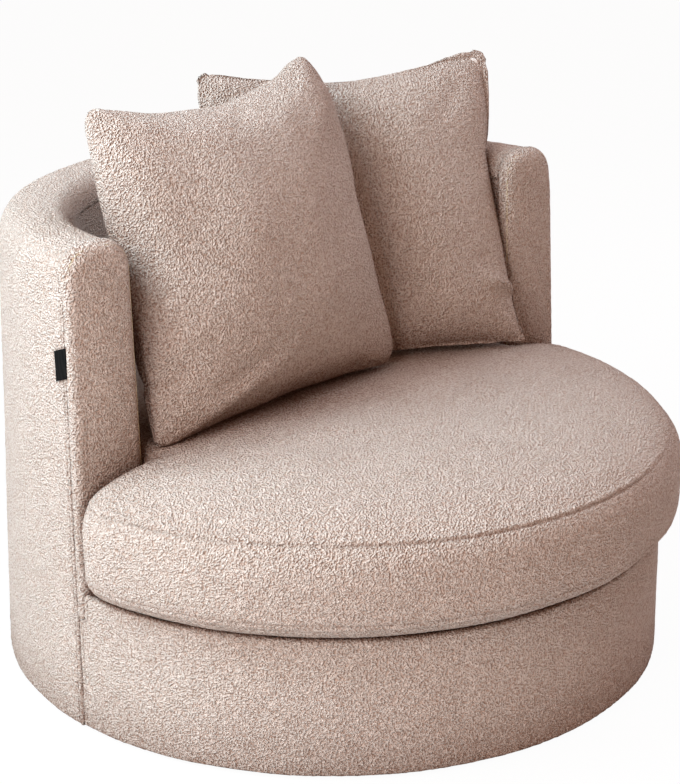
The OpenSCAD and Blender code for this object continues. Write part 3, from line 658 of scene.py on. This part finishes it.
# %% Flat pillow
def soft_power(x, n):
    return np.maximum(x, 0) ** n


def plump_grid(kind, cells, depth):
    """Points of an unsqueezed pillow lying in its own plane, front face and then back face."""
    u = np.sin(np.radians(180 * np.arange(cells + 1) / cells - 90))
    u, v = u[:, None] * np.ones(cells + 1), u[None, :] * np.ones((cells + 1, 1))
    swell = (PILLOW_T / 2 - PILLOW_COVER_T) * np.sqrt(
        soft_power(1 - abs(u) ** 2.4, 1) * soft_power(1 - abs(v) ** 2.4, 1))
    half = kind["side"] / 2 - depth
    lift_x, lift_z, fat = 0 * u, 0 * u, 0 * u
    round_u, round_v = u.copy(), v.copy()
    for (cu, cv), (radius, dx, dz, extra, narrow) in kind["corners"].items():
        near = soft_power(cu * u, 1) * soft_power(cv * v, 1)
        share = (radius - depth) / half
        p = soft_power(cu * u - 1 + share, 1) / share
        q = soft_power(cv * v - 1 + share, 1) / share
        round_u -= cu * share * p * (1 - np.sqrt(1 - q**2 / 2))
        round_v -= cv * share * q * (1 - np.sqrt(1 - p**2 / 2))
        lift_x += dx * near**narrow
        lift_z += dz * near**narrow
        fat += extra * near**2 * (1 - near) * 4
    x = (half - kind["taper"] * (1 + v) / 2) * round_u - kind["side_in"] * (1 - v**2) * u**3 + lift_x
    draw = np.where(v > 0, DRAW_IN, kind["draw_low"])
    z = half * round_v - draw * (1 - u**2) * v**3 + lift_z
    full = {-1: kind["front"] * (1 - u**2) * (1 - v**2) + fat, 1: fat * 0.4}
    return [np.stack([x, way * np.maximum(swell + full[way] + PILLOW_COVER_T - depth, 0.1 * swell), z], -1)
            for way in (-1, 1)]


def two_faces(name, front, back):
    """One closed bag from two grids that share their rim."""
    front, back = front.copy(), back.copy()
    for edge in ((0, slice(None)), (-1, slice(None)), (slice(None), 0), (slice(None), -1)):
        front[edge] = back[edge] = (front[edge] + back[edge]) / 2
    bag = sewn_panel(name, front)
    join_to(bag, [sewn_panel(name + "_back", back)])
    with editing(bag):
        bpy.ops.mesh.remove_doubles(threshold=WELD)
        bpy.ops.mesh.normals_make_consistent(inside=False)
    return bag


# %% Reading and moving a piece's points
def mesh_points(piece, what="co"):
    """The points of a piece, or with what="normal" the ways that they face."""
    values = np.empty(len(piece.data.vertices) * 3, np.float32)
    piece.data.vertices.foreach_get(what, values)
    return values.reshape(-1, 3).astype(float)


def put_points(piece, points):
    piece.data.vertices.foreach_set("co", points.astype(np.float32).ravel())
    piece.data.update()


def raise_points(piece, heights):
    put_points(piece, mesh_points(piece) + mesh_points(piece, "normal") * heights[:, None])


# %% Blowing a pillow up
AIR_FRAMES, AIR_CAP = 18, 0.005
AIR = dict(quality=6, mass=0.3, tension_stiffness=18, compression_stiffness=18, shear_stiffness=6,
           bending_stiffness=1.2, use_pressure=True, uniform_pressure_force=4)


def blow_up(piece):
    """Pressure from inside for a few frames; no point moves further than the cap."""
    before = mesh_points(piece)
    make_active(piece)
    cloth = piece.modifiers.new("air", "CLOTH")
    for key, value in AIR.items():
        setattr(cloth.settings, key, value)
    cloth.settings.effector_weights.gravity = 0
    cloth.point_cache.frame_start, cloth.point_cache.frame_end = 1, AIR_FRAMES
    for f in range(1, AIR_FRAMES + 1):
        bpy.context.scene.frame_set(f)
    bpy.ops.object.modifier_apply(modifier=cloth.name)
    bpy.context.scene.frame_set(1)
    step = mesh_points(piece) - before
    size = np.linalg.norm(step, axis=1, keepdims=True)
    put_points(piece, before + step * np.minimum(1, AIR_CAP / np.maximum(size, 1e-9)))
    print(piece.name, "moved", round(float(size.max()), 4))


# %% Placing and squeezing
def settle(p, pose, depth):
    """Turns a pillow's own points to its place and squeezes them by what it meets."""
    p = turned_about(p, "y", pose["roll"])
    p = turned_about(p, "x", -pose["lean"])
    p = turned_about(p, "z", pose["yaw"]) + pose["middle"]
    keep = SOFT_GAP + depth
    return pressed(in_tub(on_seat(p, keep), keep), pose["press_side"], keep - SOFT_GAP / 2)


def folds(p, lines):
    """Heights of soft folds, each from a start to an end, in the pillow's own plane."""
    total = np.zeros(len(p))
    for x0, z0, x1, z1, height, width in lines:
        a, b = np.array([x0, z0]), np.array([x1, z1])
        q = p[:, [0, 2]]
        t = np.clip((q - a) @ (b - a) / ((b - a) @ (b - a)), 0, 1)
        d = np.linalg.norm(q - (a + t[:, None] * (b - a)), axis=1)
        total += height * np.exp(-((d / width) ** 2)) * np.sin(math.pi * np.clip(t, 0.04, 0.96)) ** 0.6
    return total


PILE_T, SEAM_THIN, SEAM_REACH = 0.0035, 0.45, 0.003
PILLOW_FOLDS = {
    "left": [(-0.245, -0.150, -0.19, -0.125, -0.007, 0.009), (-0.235, -0.115, -0.17, -0.085, 0.004, 0.012),
             (0.19, 0.19, 0.11, 0.12, 0.004, 0.020), (-0.20, 0.205, -0.10, 0.12, -0.003, 0.018),
             (-0.20, -0.215, -0.06, -0.17, 0.005, 0.014), (-0.16, -0.185, -0.04, -0.14, -0.003, 0.012),
             (0.250, 0.235, 0.222, 0.205, -0.006, 0.006)],
    "right": [(0.245, -0.150, 0.17, -0.125, -0.011, 0.008), (0.235, -0.10, 0.15, -0.09, 0.004, 0.016),
              (0.205, 0.205, 0.12, 0.12, 0.003, 0.018), (-0.20, 0.20, -0.11, 0.12, -0.003, 0.018)],
}
PILLOWS = {
    "left": dict(side=LEFT_SIDE, side_in=0.0, taper=0.012, front=0.036, draw_low=0.004, corners={
        (-1, 1): (0.034, 0, 0.002, 0.006, 5), (1, 1): (0.080, 0.000, 0.031, 0.018, 3),
        (-1, -1): (0.034, -0.016, -0.020, 0.006, 2.5), (1, -1): (0.044, 0, 0, 0.004, 5)}),
    "right": dict(side=RIGHT_SIDE, side_in=0.004, taper=0.0, front=0.010, draw_low=0.020, corners={
        (-1, 1): (0.036, 0, 0.006, 0.008, 5), (1, 1): (0.040, 0.012, 0.004, 0.006, 5),
        (-1, -1): (0.030, 0, 0, 0.003, 5), (1, -1): (0.026, 0.026, -0.002, 0.004, 5)}),
}
PILLOW_CELLS, FOLD_SPARE, FILLING_IN = 92, 0.006, 0.018


# %% Pillows
PILLOW_ROUGH, ROUGH_LIMITS, BAG_SPARE, FILLING_CELLS = 0.00022, (-0.0005, 0.0003), 0.0006, 40


def shaped(piece, which, pose, seed, depth):
    """Folds and waves in the flat pillow, then its place and its squeeze."""
    p, n = mesh_points(piece), mesh_points(piece, "normal")
    moved = folds(p, PILLOW_FOLDS[which]) + long_waves(p, 0.16, 0.0014, seed)
    p = p + n * np.maximum(moved, -0.5 * (np.abs(p[:, 1]) + FOLD_SPARE))[:, None]
    put_points(piece, settle(p, pose, depth))


pillows = {}
for which, pose, seed in (("left", left_pose, 41), ("right", right_pose, 42)):
    kind = PILLOWS[which]
    bag = two_faces(f"pillow_{which}_dressed", *plump_grid(kind, PILLOW_CELLS, PILE_T))
    blow_up(bag)
    seam = np.abs(mesh_points(bag)[:, 1])
    raise_points(bag, PILE_T * (1 - SEAM_THIN * np.exp(-((seam / SEAM_REACH) ** 2))))
    shaped(bag, which, pose, seed, BAG_SPARE)
    rough = np.random.default_rng(seed + 5).normal(size=len(bag.data.vertices)) * PILLOW_ROUGH
    raise_points(bag, np.clip(rough, *ROUGH_LIMITS))
    filling = two_faces(f"pillow_{which}_filling_dressed", *plump_grid(kind, FILLING_CELLS, FILLING_IN))
    shaped(filling, which, pose, seed, FILLING_IN)
    pillows[which], pillows[which + "_filling"] = bag, filling
    p = mesh_points(bag)
    print(bag.name, len(bag.data.polygons), "faces, box", p.min(0).round(3), p.max(0).round(3))

# %% [markdown]
# ## Bare label
# A short black ribbon is folded double and sewn into the arm's outer seam. It lies on the outside
# wall, lifts a little towards its fold, and carries nothing.

# %% Bare label
LABEL_L, LABEL_W, LABEL_H, LABEL_T, LABEL_EDGE = 0.042, 0.022, 0.508, 0.00045, 0.0001
LABEL_ROWS, LABEL_COLUMNS, LABEL_TUCK, LABEL_SAG = 14, 25, 0.002, 0.008


def label_point(t, h):
    """A point of the ribbon: t runs from -1 to 1 round its fold at 0, and h from 0 to 1 upwards."""
    out = 1 - abs(t)
    z = LABEL_H + LABEL_L * h - LABEL_SAG * out
    y = arm_plane(z) + CORNER_TIGHT - LABEL_TUCK + LABEL_W * out
    lift = 0.0008 + 0.0030 * out**1.5 + 0.0007 * t * min(1, (1 - out) * 3 + 0.35) + 0.0012 * out * h**3
    return -math.sqrt((body_at(z) + lift) ** 2 - y**2), y, z


label = thicken(sewn_panel("label_dressed", np.array([
    [label_point(t, h) for t in np.linspace(-1, 1, LABEL_COLUMNS)]
    for h in np.linspace(0, 1, LABEL_ROWS)])), LABEL_T)
bevel = label.modifiers.new("edge", "BEVEL")
bevel.width, bevel.segments = LABEL_EDGE, 1
apply_modifier(label, bevel)

# %% [markdown]
# ## Zip
# The case closes with a zip across the back of its band, where nobody sees it. It has two woven
# tapes, a row of teeth on each and a slider. One tooth is shaped from a cube and then copied.

# %% Zip tapes
ZIP_R, ZIP_HALF, TAPE_OUT, TAPE_T = TUB_R - TUB_GAP, TUB_R / 2, 0.0007, 0.0006
zip_end = math.asin(ZIP_HALF / TUB_R)
turns = np.linspace(math.pi / 2 - zip_end, math.pi / 2 + zip_end, 90)
tape_line = np.stack([np.cos(turns), np.sin(turns)], -1) * (ZIP_R + TAPE_OUT)
tapes = []
for k, ends in enumerate(((ZIP_H, ZIP_H + 0.0034), (ZIP_H + 0.0046, ZIP_H + ZIP_W))):
    points = np.stack([np.insert(tape_line, 2, z, axis=1) for z in np.linspace(*ends, 5)])
    tapes.append(thicken(sewn_panel(f"zip_tape_{k}", points, turned=True), TAPE_T))

# %% Zip teeth
TOOTH_PITCH, TOOTH_SIZE, TOOTH_STEP = 0.0030, (0.0014, 0.0013, 0.0020), 0.0007
TEETH_FROM_END = 0.01


def small_block(name, size, edge, segments):
    """A cube resized in edit mode, with its edges rounded."""
    bpy.ops.mesh.primitive_cube_add(size=1)
    block = bpy.context.object
    block.name = name
    with editing(block):
        bpy.ops.transform.resize(value=size)
        bpy.ops.mesh.bevel(offset=edge, segments=segments)
    return block


def at_the_back(points, turn, radius, z):
    """Stands points on the cushion's back at a turn, with their y axis pointing out."""
    ways = np.array([[-math.sin(turn), math.cos(turn), 0], [math.cos(turn), math.sin(turn), 0], [0, 0, 1]])
    return points @ ways + [radius * math.cos(turn), radius * math.sin(turn), z]


teeth_count = int(2 * zip_end * ZIP_R / TOOTH_PITCH)
zip_teeth = small_block("zip_teeth", TOOTH_SIZE, 0.0003, 1)
tooth_points = mesh_points(zip_teeth)
copies = []
for i, turn in enumerate(np.linspace(turns[0] + TEETH_FROM_END, turns[-1] - TEETH_FROM_END, teeth_count)):
    copy = zip_teeth if i == 0 else zip_teeth.copy()
    if i:
        copy.data = zip_teeth.data.copy()
        bpy.context.scene.collection.objects.link(copy)
        copies.append(copy)
    step = TOOTH_STEP if i % 2 else -TOOTH_STEP
    put_points(copy, at_the_back(tooth_points, turn, ZIP_R, ZIP_H + ZIP_W / 2 + step))
join_to(zip_teeth, copies)
print("zip teeth", teeth_count)

# %% Zip slider
SLIDER_SIZE, SLIDER_FROM_END, SLIDER_OUT = (0.007, 0.0016, 0.0062), 0.03, 0.0002
slider = small_block("zip_slider", SLIDER_SIZE, 0.0005, 2)
put_points(slider, at_the_back(mesh_points(slider), turns[-1] - SLIDER_FROM_END, ZIP_R + SLIDER_OUT,
                               ZIP_H + ZIP_W / 2))

# %% [markdown]
# ## Looped fabric
# Boucle is woven from yarn that curls into small loops, so light catches pale rounded lumps and
# the gaps between them fall dark and pinkish. A layer of cells makes the loops, bent by noise so
# that no grid shows, and two layers of noise make the yarn's own curl. The same height drives the
# bump, the colour and the roughness; in the colour that light is painted, the tips as a painted
# highlight and the gaps as painted shade. An ambient occlusion node paints more shade: wherever the
# chair shades itself the colour darkens towards a warm brown, the gaps more than the tips. It is
# a node group, so that each panel can have its own values.

# %% Small helpers for node trees
WHITE = (1.0, 1.0, 1.0, 1.0)


def plug(tree, socket, value):
    """Links a socket to another node's, or sets it to a plain value."""
    if isinstance(value, bpy.types.NodeSocket):
        tree.links.new(value, socket)
    else:
        socket.default_value = value


def add(tree, kind, sockets=None, **values):
    """A new node with its own values, and with its sockets by name or number."""
    node = tree.nodes.new(kind)
    for key, value in values.items():
        setattr(node, key, value)
    for key, value in (sockets or {}).items():
        plug(tree, node.inputs[key], value)
    return node


def math_node(tree, operation, a, b):
    return add(tree, "ShaderNodeMath", {0: a, 1: b}, operation=operation).outputs[0]


def vector_node(tree, operation, a, b, second=1):
    return add(tree, "ShaderNodeVectorMath", {0: a, second: b}, operation=operation).outputs[0]


def noise(tree, vector, scale, **sockets):
    return add(tree, "ShaderNodeTexNoise", {"Vector": vector, "Scale": scale, **sockets}).outputs


def mix_colours(tree, factor, a, b, mode="MIX"):
    return add(tree, "ShaderNodeMix", {0: factor, 6: a, 7: b}, data_type="RGBA",
               blend_type=mode).outputs[2]


def map_range(tree, value, *limits):
    """A value taken from between the first two limits to between the last two."""
    return add(tree, "ShaderNodeMapRange", dict(enumerate((value, *limits))), clamp=True).outputs[0]


def new_group(name, **inputs):
    """A node group that gives a colour, a height and a roughness, with its inputs and outputs."""
    group = bpy.data.node_groups.new(name, "ShaderNodeTree")
    outputs = {"Colour": "Color", "Height": "Float", "Roughness": "Float"}
    for way, sockets in (("INPUT", {"Vector": "Vector", **inputs}), ("OUTPUT", outputs)):
        for socket, kind in sockets.items():
            group.interface.new_socket(socket.replace("_", " "), in_out=way,
                                       socket_type="NodeSocket" + kind)
    return group, group.nodes.new("NodeGroupInput").outputs, group.nodes.new("NodeGroupOutput").inputs


def linear(r, g, b):
    """A colour as a painter names it, 0 to 1 on the screen, in the linear values of a shader."""
    return tuple(((c + 0.055) / 1.055) ** 2.4 if c > 0.04045 else c / 12.92 for c in (r, g, b)) + (1.0,)


# %% Group: looped pile and painted shade
def pile_height(tree, vector, size):
    """Loops as bent cells, and two layers of curls in their yarn."""
    per_metre = math_node(tree, "DIVIDE", 1.0, size)
    bend = noise(tree, vector, math_node(tree, "MULTIPLY", per_metre, 0.8), Detail=1.0)["Color"]
    bend = vector_node(tree, "SUBTRACT", bend, (0.5, 0.5, 0.5))
    bend = vector_node(tree, "SCALE", bend, math_node(tree, "MULTIPLY", size, 0.6), "Scale")
    loops = add(tree, "ShaderNodeTexVoronoi", {
        "Vector": vector_node(tree, "ADD", vector, bend), "Scale": per_metre, "Randomness": 0.8},
        feature="F1")
    dome = map_range(tree, loops.outputs["Distance"], 0.1, 0.85, 1.0, 0.0)
    height = math_node(tree, "MULTIPLY", dome, 0.30)
    for finer, share in ((1.35, 0.40), (2.2, 0.30)):
        curl = noise(tree, vector, math_node(tree, "MULTIPLY", per_metre, finer), Detail=0.0)["Fac"]
        curl = map_range(tree, curl, 0.25, 0.75, 0.0, 1.0)
        height = math_node(tree, "ADD", height, math_node(tree, "MULTIPLY", curl, share))
    return height


def looped_pile_and_shade():
    tree, given, out = new_group("looped_pile_and_shade", Loop_size="Float", Tip="Color", Body="Color",
                                 Gap="Color", Deep="Color")
    vector = given["Vector"]
    height = pile_height(tree, vector, given["Loop size"])
    # Painted light and shade of the loops by their height: the gap colour is painted shade, the tip colour
    # a painted highlight.
    colour = mix_colours(tree, map_range(tree, height, 0.25, 0.50, 0.0, 1.0), given["Gap"], given["Body"])
    colour = mix_colours(tree, map_range(tree, height, 0.50, 0.75, 0.0, 1.0), colour, given["Tip"])
    shade = map_range(tree, noise(tree, vector, 14.0, Detail=3.0)["Fac"], 0.3, 0.7, 0.0, 1.0)
    tone = mix_colours(tree, shade, (0.965, 0.96, 0.955, 1), WHITE)
    colour = mix_colours(tree, 1.0, colour, tone, "MULTIPLY")
    # Painted shade: the ambient occlusion darkens the colour towards the shade colour wherever the chair
    # shades itself, and there the gaps darken more than the tips.
    open_air = add(tree, "ShaderNodeAmbientOcclusion", {"Distance": 0.11}, samples=6).outputs["AO"]
    depth = map_range(tree, open_air, 0.12, 0.94, 0.0, 1.0)
    hidden = math_node(tree, "SUBTRACT", 1.0, depth)
    above = math_node(tree, "MULTIPLY", math_node(tree, "SUBTRACT", height, 0.5), 1.5)
    depth = math_node(tree, "ADD", depth, math_node(tree, "MULTIPLY", hidden, above))
    deep = mix_colours(tree, depth, given["Deep"], WHITE)
    plug(tree, out["Colour"], mix_colours(tree, 1.0, colour, deep, "MULTIPLY"))
    plug(tree, out["Height"], height)
    plug(tree, out["Roughness"], map_range(tree, height, 0.2, 0.8, 0.98, 0.86))
    return tree


LOOPED_PILE_AND_SHADE = looped_pile_and_shade()
print("node group", LOOPED_PILE_AND_SHADE.name)


# %% Materials of looped fabric
def patterned(name, group, sockets, bump, distance, specular=0.3, sheen=0.0, metallic=0.0,
              roughness=None):
    """A material that one of the groups colours and raises, on the piece's own coordinates."""
    material = bpy.data.materials.new(name)
    material.use_nodes = True
    tree = material.node_tree
    place = add(tree, "ShaderNodeTexCoord").outputs["Object"]
    pattern = add(tree, "ShaderNodeGroup", {"Vector": place, **sockets}, node_tree=group).outputs
    raised = add(tree, "ShaderNodeBump", {"Strength": bump, "Distance": distance,
                                          "Height": pattern["Height"]}).outputs["Normal"]
    rough = pattern["Roughness"]
    if roughness:
        rough = map_range(tree, pattern["Height"], 0, 1, *roughness)
    own = {"Base Color": pattern["Colour"], "Roughness": rough, "Normal": raised,
           "Specular IOR Level": specular, "Sheen Weight": sheen, "Metallic": metallic}
    for socket, value in own.items():
        plug(tree, tree.nodes["Principled BSDF"].inputs[socket], value)
    return material


def looped_fabric(name, size, tip, body, gap):
    # The last colour is the painted shade that the ambient occlusion darkens towards.
    material = patterned(name, LOOPED_PILE_AND_SHADE, {
        "Loop size": size, "Tip": linear(*tip), "Body": linear(*body), "Gap": linear(*gap),
        "Deep": (0.34, 0.22, 0.17, 1)}, 1.0, 0.0120, specular=0.12, sheen=0.25)
    shader = material.node_tree.nodes["Principled BSDF"]
    shader.inputs["Sheen Roughness"].default_value = 0.55
    shader.inputs["Sheen Tint"].default_value = linear(0.93, 0.86, 0.81)
    FINISHES[name] = material


FINISHES = {}
# Tip, body and gap colours; the paler tips are a painted highlight and the darker, pinker gaps painted
# shade.
looped_fabric("boucle", 0.0038, (0.94, 0.905, 0.87), (0.905, 0.86, 0.82), (0.79, 0.69, 0.625))
looped_fabric("boucle_pillow", 0.0037, (0.94, 0.90, 0.865), (0.90, 0.855, 0.815), (0.77, 0.67, 0.605))
print("looped fabrics", list(FINISHES))

# %% [markdown]
# ## The other finishes
# Under the covers are plain workshop materials: plywood and beech, bent hardboard, pressed and
# zinc-plated steel, foam, wadding and webbing. Three small groups serve them: long grain for the
# wood, a crossed weave for tapes and cloths, and uneven tone for everything that is moulded,
# pressed or felted.


# %% Groups: long grain, crossed weave, uneven tone
def grouped(name, build):
    tree, given, out = new_group(name, Size="Float", Light="Color", Dark="Color")
    height, low, high = build(tree, given["Vector"], math_node(tree, "DIVIDE", 1.0, given["Size"]))
    plug(tree, out["Colour"], mix_colours(tree, height, given["Dark"], given["Light"]))
    plug(tree, out["Height"], height)
    plug(tree, out["Roughness"], map_range(tree, height, 0.0, 1.0, low, high))
    return tree


def build_grain(tree, vector, per_metre):
    stretched = vector_node(tree, "MULTIPLY", vector, (1.0, 0.06, 1.0))
    rings = noise(tree, stretched, per_metre, Detail=5.0, Distortion=0.6)["Fac"]
    return map_range(tree, rings, 0.32, 0.68, 0.0, 1.0), 0.62, 0.48


def build_weave(tree, vector, per_metre):
    scale = math_node(tree, "MULTIPLY", per_metre, 0.3)
    bands = [add(tree, "ShaderNodeTexWave", {"Vector": vector, "Scale": scale, "Distortion": 0.4,
                                             "Detail": 1.0}, bands_direction=way).outputs["Fac"]
             for way in ("X", "Z")]
    return map_range(tree, math_node(tree, "MULTIPLY", *bands), 0.05, 0.6, 0.0, 1.0), 0.92, 0.78


def build_tone(tree, vector, per_metre):
    spots = noise(tree, vector, per_metre, Detail=6.0, Roughness=0.62)["Fac"]
    return map_range(tree, spots, 0.33, 0.67, 0.0, 1.0), 0.9, 0.6


LONG_GRAIN = grouped("long_grain", build_grain)
CROSSED_WEAVE = grouped("crossed_weave", build_weave)
UNEVEN_TONE = grouped("uneven_tone", build_tone)
print("node groups", len(bpy.data.node_groups))


# %% Finishes of the frame, the swivel and the padding
STEEL = dict(metallic=1.0, specular=0.5)


def finish(name, group, size, light, dark, bump=0.3, distance=0.0004, **more):
    sockets = {"Size": size, "Light": linear(*light), "Dark": linear(*dark)}
    FINISHES[name] = patterned(name, group, sockets, bump, distance, **more)


finish("felt", UNEVEN_TONE, 0.004, (0.36, 0.35, 0.34), (0.24, 0.23, 0.22), 0.6, sheen=0.3)
finish("plywood", LONG_GRAIN, 0.012, (0.84, 0.69, 0.49), (0.68, 0.50, 0.32))
finish("beech", LONG_GRAIN, 0.007, (0.83, 0.65, 0.47), (0.70, 0.50, 0.34))
finish("hardboard", UNEVEN_TONE, 0.006, (0.48, 0.34, 0.23), (0.36, 0.24, 0.15))
finish("swivel_steel", UNEVEN_TONE, 0.03, (0.72, 0.72, 0.70), (0.58, 0.58, 0.57), 0.05,
       roughness=(0.28, 0.46), **STEEL)
finish("ball_steel", UNEVEN_TONE, 0.01, (0.86, 0.86, 0.86), (0.74, 0.74, 0.75), 0.02,
       roughness=(0.08, 0.18), **STEEL)
finish("screw_steel", UNEVEN_TONE, 0.005, (0.80, 0.77, 0.66), (0.62, 0.60, 0.54), 0.08,
       roughness=(0.25, 0.42), **STEEL)
finish("webbing", CROSSED_WEAVE, 0.0022, (0.30, 0.30, 0.31), (0.14, 0.14, 0.15), 0.7)
finish("foam", UNEVEN_TONE, 0.0018, (0.93, 0.89, 0.74), (0.82, 0.77, 0.60), 0.7)
finish("wadding", UNEVEN_TONE, 0.009, (0.96, 0.96, 0.94), (0.86, 0.86, 0.84), 0.8, 0.0012, sheen=0.3)
finish("lining", CROSSED_WEAVE, 0.0009, (0.17, 0.17, 0.17), (0.07, 0.07, 0.07), 0.5)
finish("label", CROSSED_WEAVE, 0.0007, (0.055, 0.052, 0.05), (0.02, 0.02, 0.02), 0.35, 0.0001,
       roughness=(0.85, 0.7), specular=0.12)
finish("zip", CROSSED_WEAVE, 0.0008, (0.66, 0.56, 0.50), (0.48, 0.39, 0.34), 0.5)
print("materials", len(FINISHES))

# %% [markdown]
# ## Which piece takes which finish
# Each new piece stands for the CAD node or nodes under it and rides on the same body, so it goes
# along when the chair turns or the cushions are lifted. The record of the frame says which slot a
# node's material belongs to, and the nodes that stay take their finish from that.


# %% Dressing the bodies
def dress(piece, body, slot_name, *nodes):
    piece.data.materials.clear()
    piece.data.materials.append(FINISHES[slot_name])
    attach(piece, body)
    if nodes:
        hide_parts(*nodes)


dress(outer_cover, "chair_body", "boucle", "outer_cover")
dress(inner_cover, "chair_body", "boucle", "inner_cover")
dress(arm_ends["left"], "chair_body", "boucle", "arm_end_cover_left")
dress(arm_ends["right"], "chair_body", "boucle", "arm_end_cover_right")
dress(base_front, "chair_body", "boucle", "base_front_cover")
dress(label, "chair_body", "label", "blank_label")
dress(seat_cushion, "seat_cushion", "boucle", "seat_cover_top", "seat_cover_band", "seat_cover_bottom")
dress(seat_wrap, "seat_cushion", "wadding", "seat_wrap")
dress(seat_foam, "seat_cushion", "foam", "seat_foam")
dress(tapes[0], "seat_cushion", "zip", "seat_zip")
dress(tapes[1], "seat_cushion", "zip")
dress(zip_teeth, "seat_cushion", "zip")
dress(slider, "seat_cushion", "screw_steel")
for which in ("left", "right"):
    dress(pillows[which], "pillow_" + which, "boucle_pillow",
          f"pillow_{which}_front", f"pillow_{which}_back")
    dress(pillows[which + "_filling"], "pillow_" + which, "wadding", f"pillow_{which}_filling")

# %% Nodes that stay
slot_of_node = {part["node"]: part["material_slot"] for part in frame["record"]["subparts"]}
for name, node in frame["nodes"].items():
    if node.hide_render:
        continue
    node.data.materials.clear()
    node.data.materials.append(FINISHES[slot_of_node[name]])
print("nodes by slot", len(slot_of_node))

# %% [markdown]
# ## What is stuffed
# The seat cushion and the two pillows give when they are pressed. The cushion is filled nearly
# tight, the pillows a little less, so that their panels can fold.

# %% [markdown]
# ## Floor, light and background
# The photograph was lit by soft sources on the left, the strongest one high up and a little behind
# the chair's side, with a weaker one on the right and a faint warm fill, before a white
# background. The floor and the world are white to the camera only, and the floor still carries a
# faint shadow of the chair.


# %% Floor
FLOOR_SIZE, FLOOR_WHITE, FLOOR_COLOUR = 14, 0.96, (0.80, 0.79, 0.78, 1)


def seen_rays(tree):
    """1 for what the camera, a glossy surface or glass sees, and 0 for what falls on the chair."""
    rays = add(tree, "ShaderNodeLightPath").outputs
    return math_node(tree, "MINIMUM", 1.0, math_node(tree, "ADD", rays["Is Camera Ray"], math_node(
        tree, "ADD", rays["Is Glossy Ray"], rays["Is Transmission Ray"])))


def mix_shaders(tree, factor, a, b):
    return add(tree, "ShaderNodeMixShader", {0: factor, 1: a.outputs[0], 2: b.outputs[0]}).outputs[0]


bpy.ops.mesh.primitive_plane_add(size=FLOOR_SIZE)
floor = bpy.context.object
floor.name = "studio_floor"
floor_material = bpy.data.materials.new("studio_floor")
floor_material.use_nodes = True
tree = floor_material.node_tree
shader = tree.nodes["Principled BSDF"]
shader.inputs["Base Color"].default_value = FLOOR_COLOUR
shader.inputs["Roughness"].default_value = 0.9
glow = add(tree, "ShaderNodeEmission", {"Color": WHITE})
shown = math_node(tree, "MULTIPLY", seen_rays(tree), FLOOR_WHITE)
plug(tree, tree.nodes["Material Output"].inputs[0], mix_shaders(tree, shown, shader, glow))
floor.data.materials.append(floor_material)

# %% World
FILL_LIGHT, FILL_COLOUR = 0.44, (1.0, 0.52, 0.34, 1)
world = bpy.data.worlds.new("studio")
bpy.context.scene.world = world
world.use_nodes = True
tree = world.node_tree
tree.nodes.clear()
soft = add(tree, "ShaderNodeBackground", {"Color": FILL_COLOUR, "Strength": FILL_LIGHT})
white = add(tree, "ShaderNodeBackground", {"Color": WHITE, "Strength": 1.0})
add(tree, "ShaderNodeOutputWorld", {0: mix_shaders(tree, seen_rays(tree), soft, white)})

# %% Lamps
LAMP_AIM = (0.0, 0.0, 0.35)


def soft_box(name, turn, height, distance, size, power, colour):
    """A square lamp that looks at the chair from a turn about it and a height, both in degrees."""
    turn, height = math.radians(turn), math.radians(height)
    way = Vector((math.cos(turn) * math.cos(height), math.sin(turn) * math.cos(height), math.sin(height)))
    bpy.ops.object.light_add(type="AREA", location=Vector(LAMP_AIM) + way * distance)
    lamp = bpy.context.object
    lamp.name = name
    lamp.data.size = size
    lamp.data.energy = power
    lamp.data.color = colour
    lamp.rotation_euler = (-way).to_track_quat("-Z", "Y").to_euler()


soft_box("key_left", 158, 42, 2.5, 1.2, 82, (0.68, 0.89, 1.0))
soft_box("key_front", 198, 30, 2.5, 1.2, 38, (1.0, 0.91, 0.90))
soft_box("fill_right", 0, 44, 3.2, 1.8, 50, (0.83, 0.88, 1.0))
bpy.context.scene.view_settings.view_transform = "Standard"
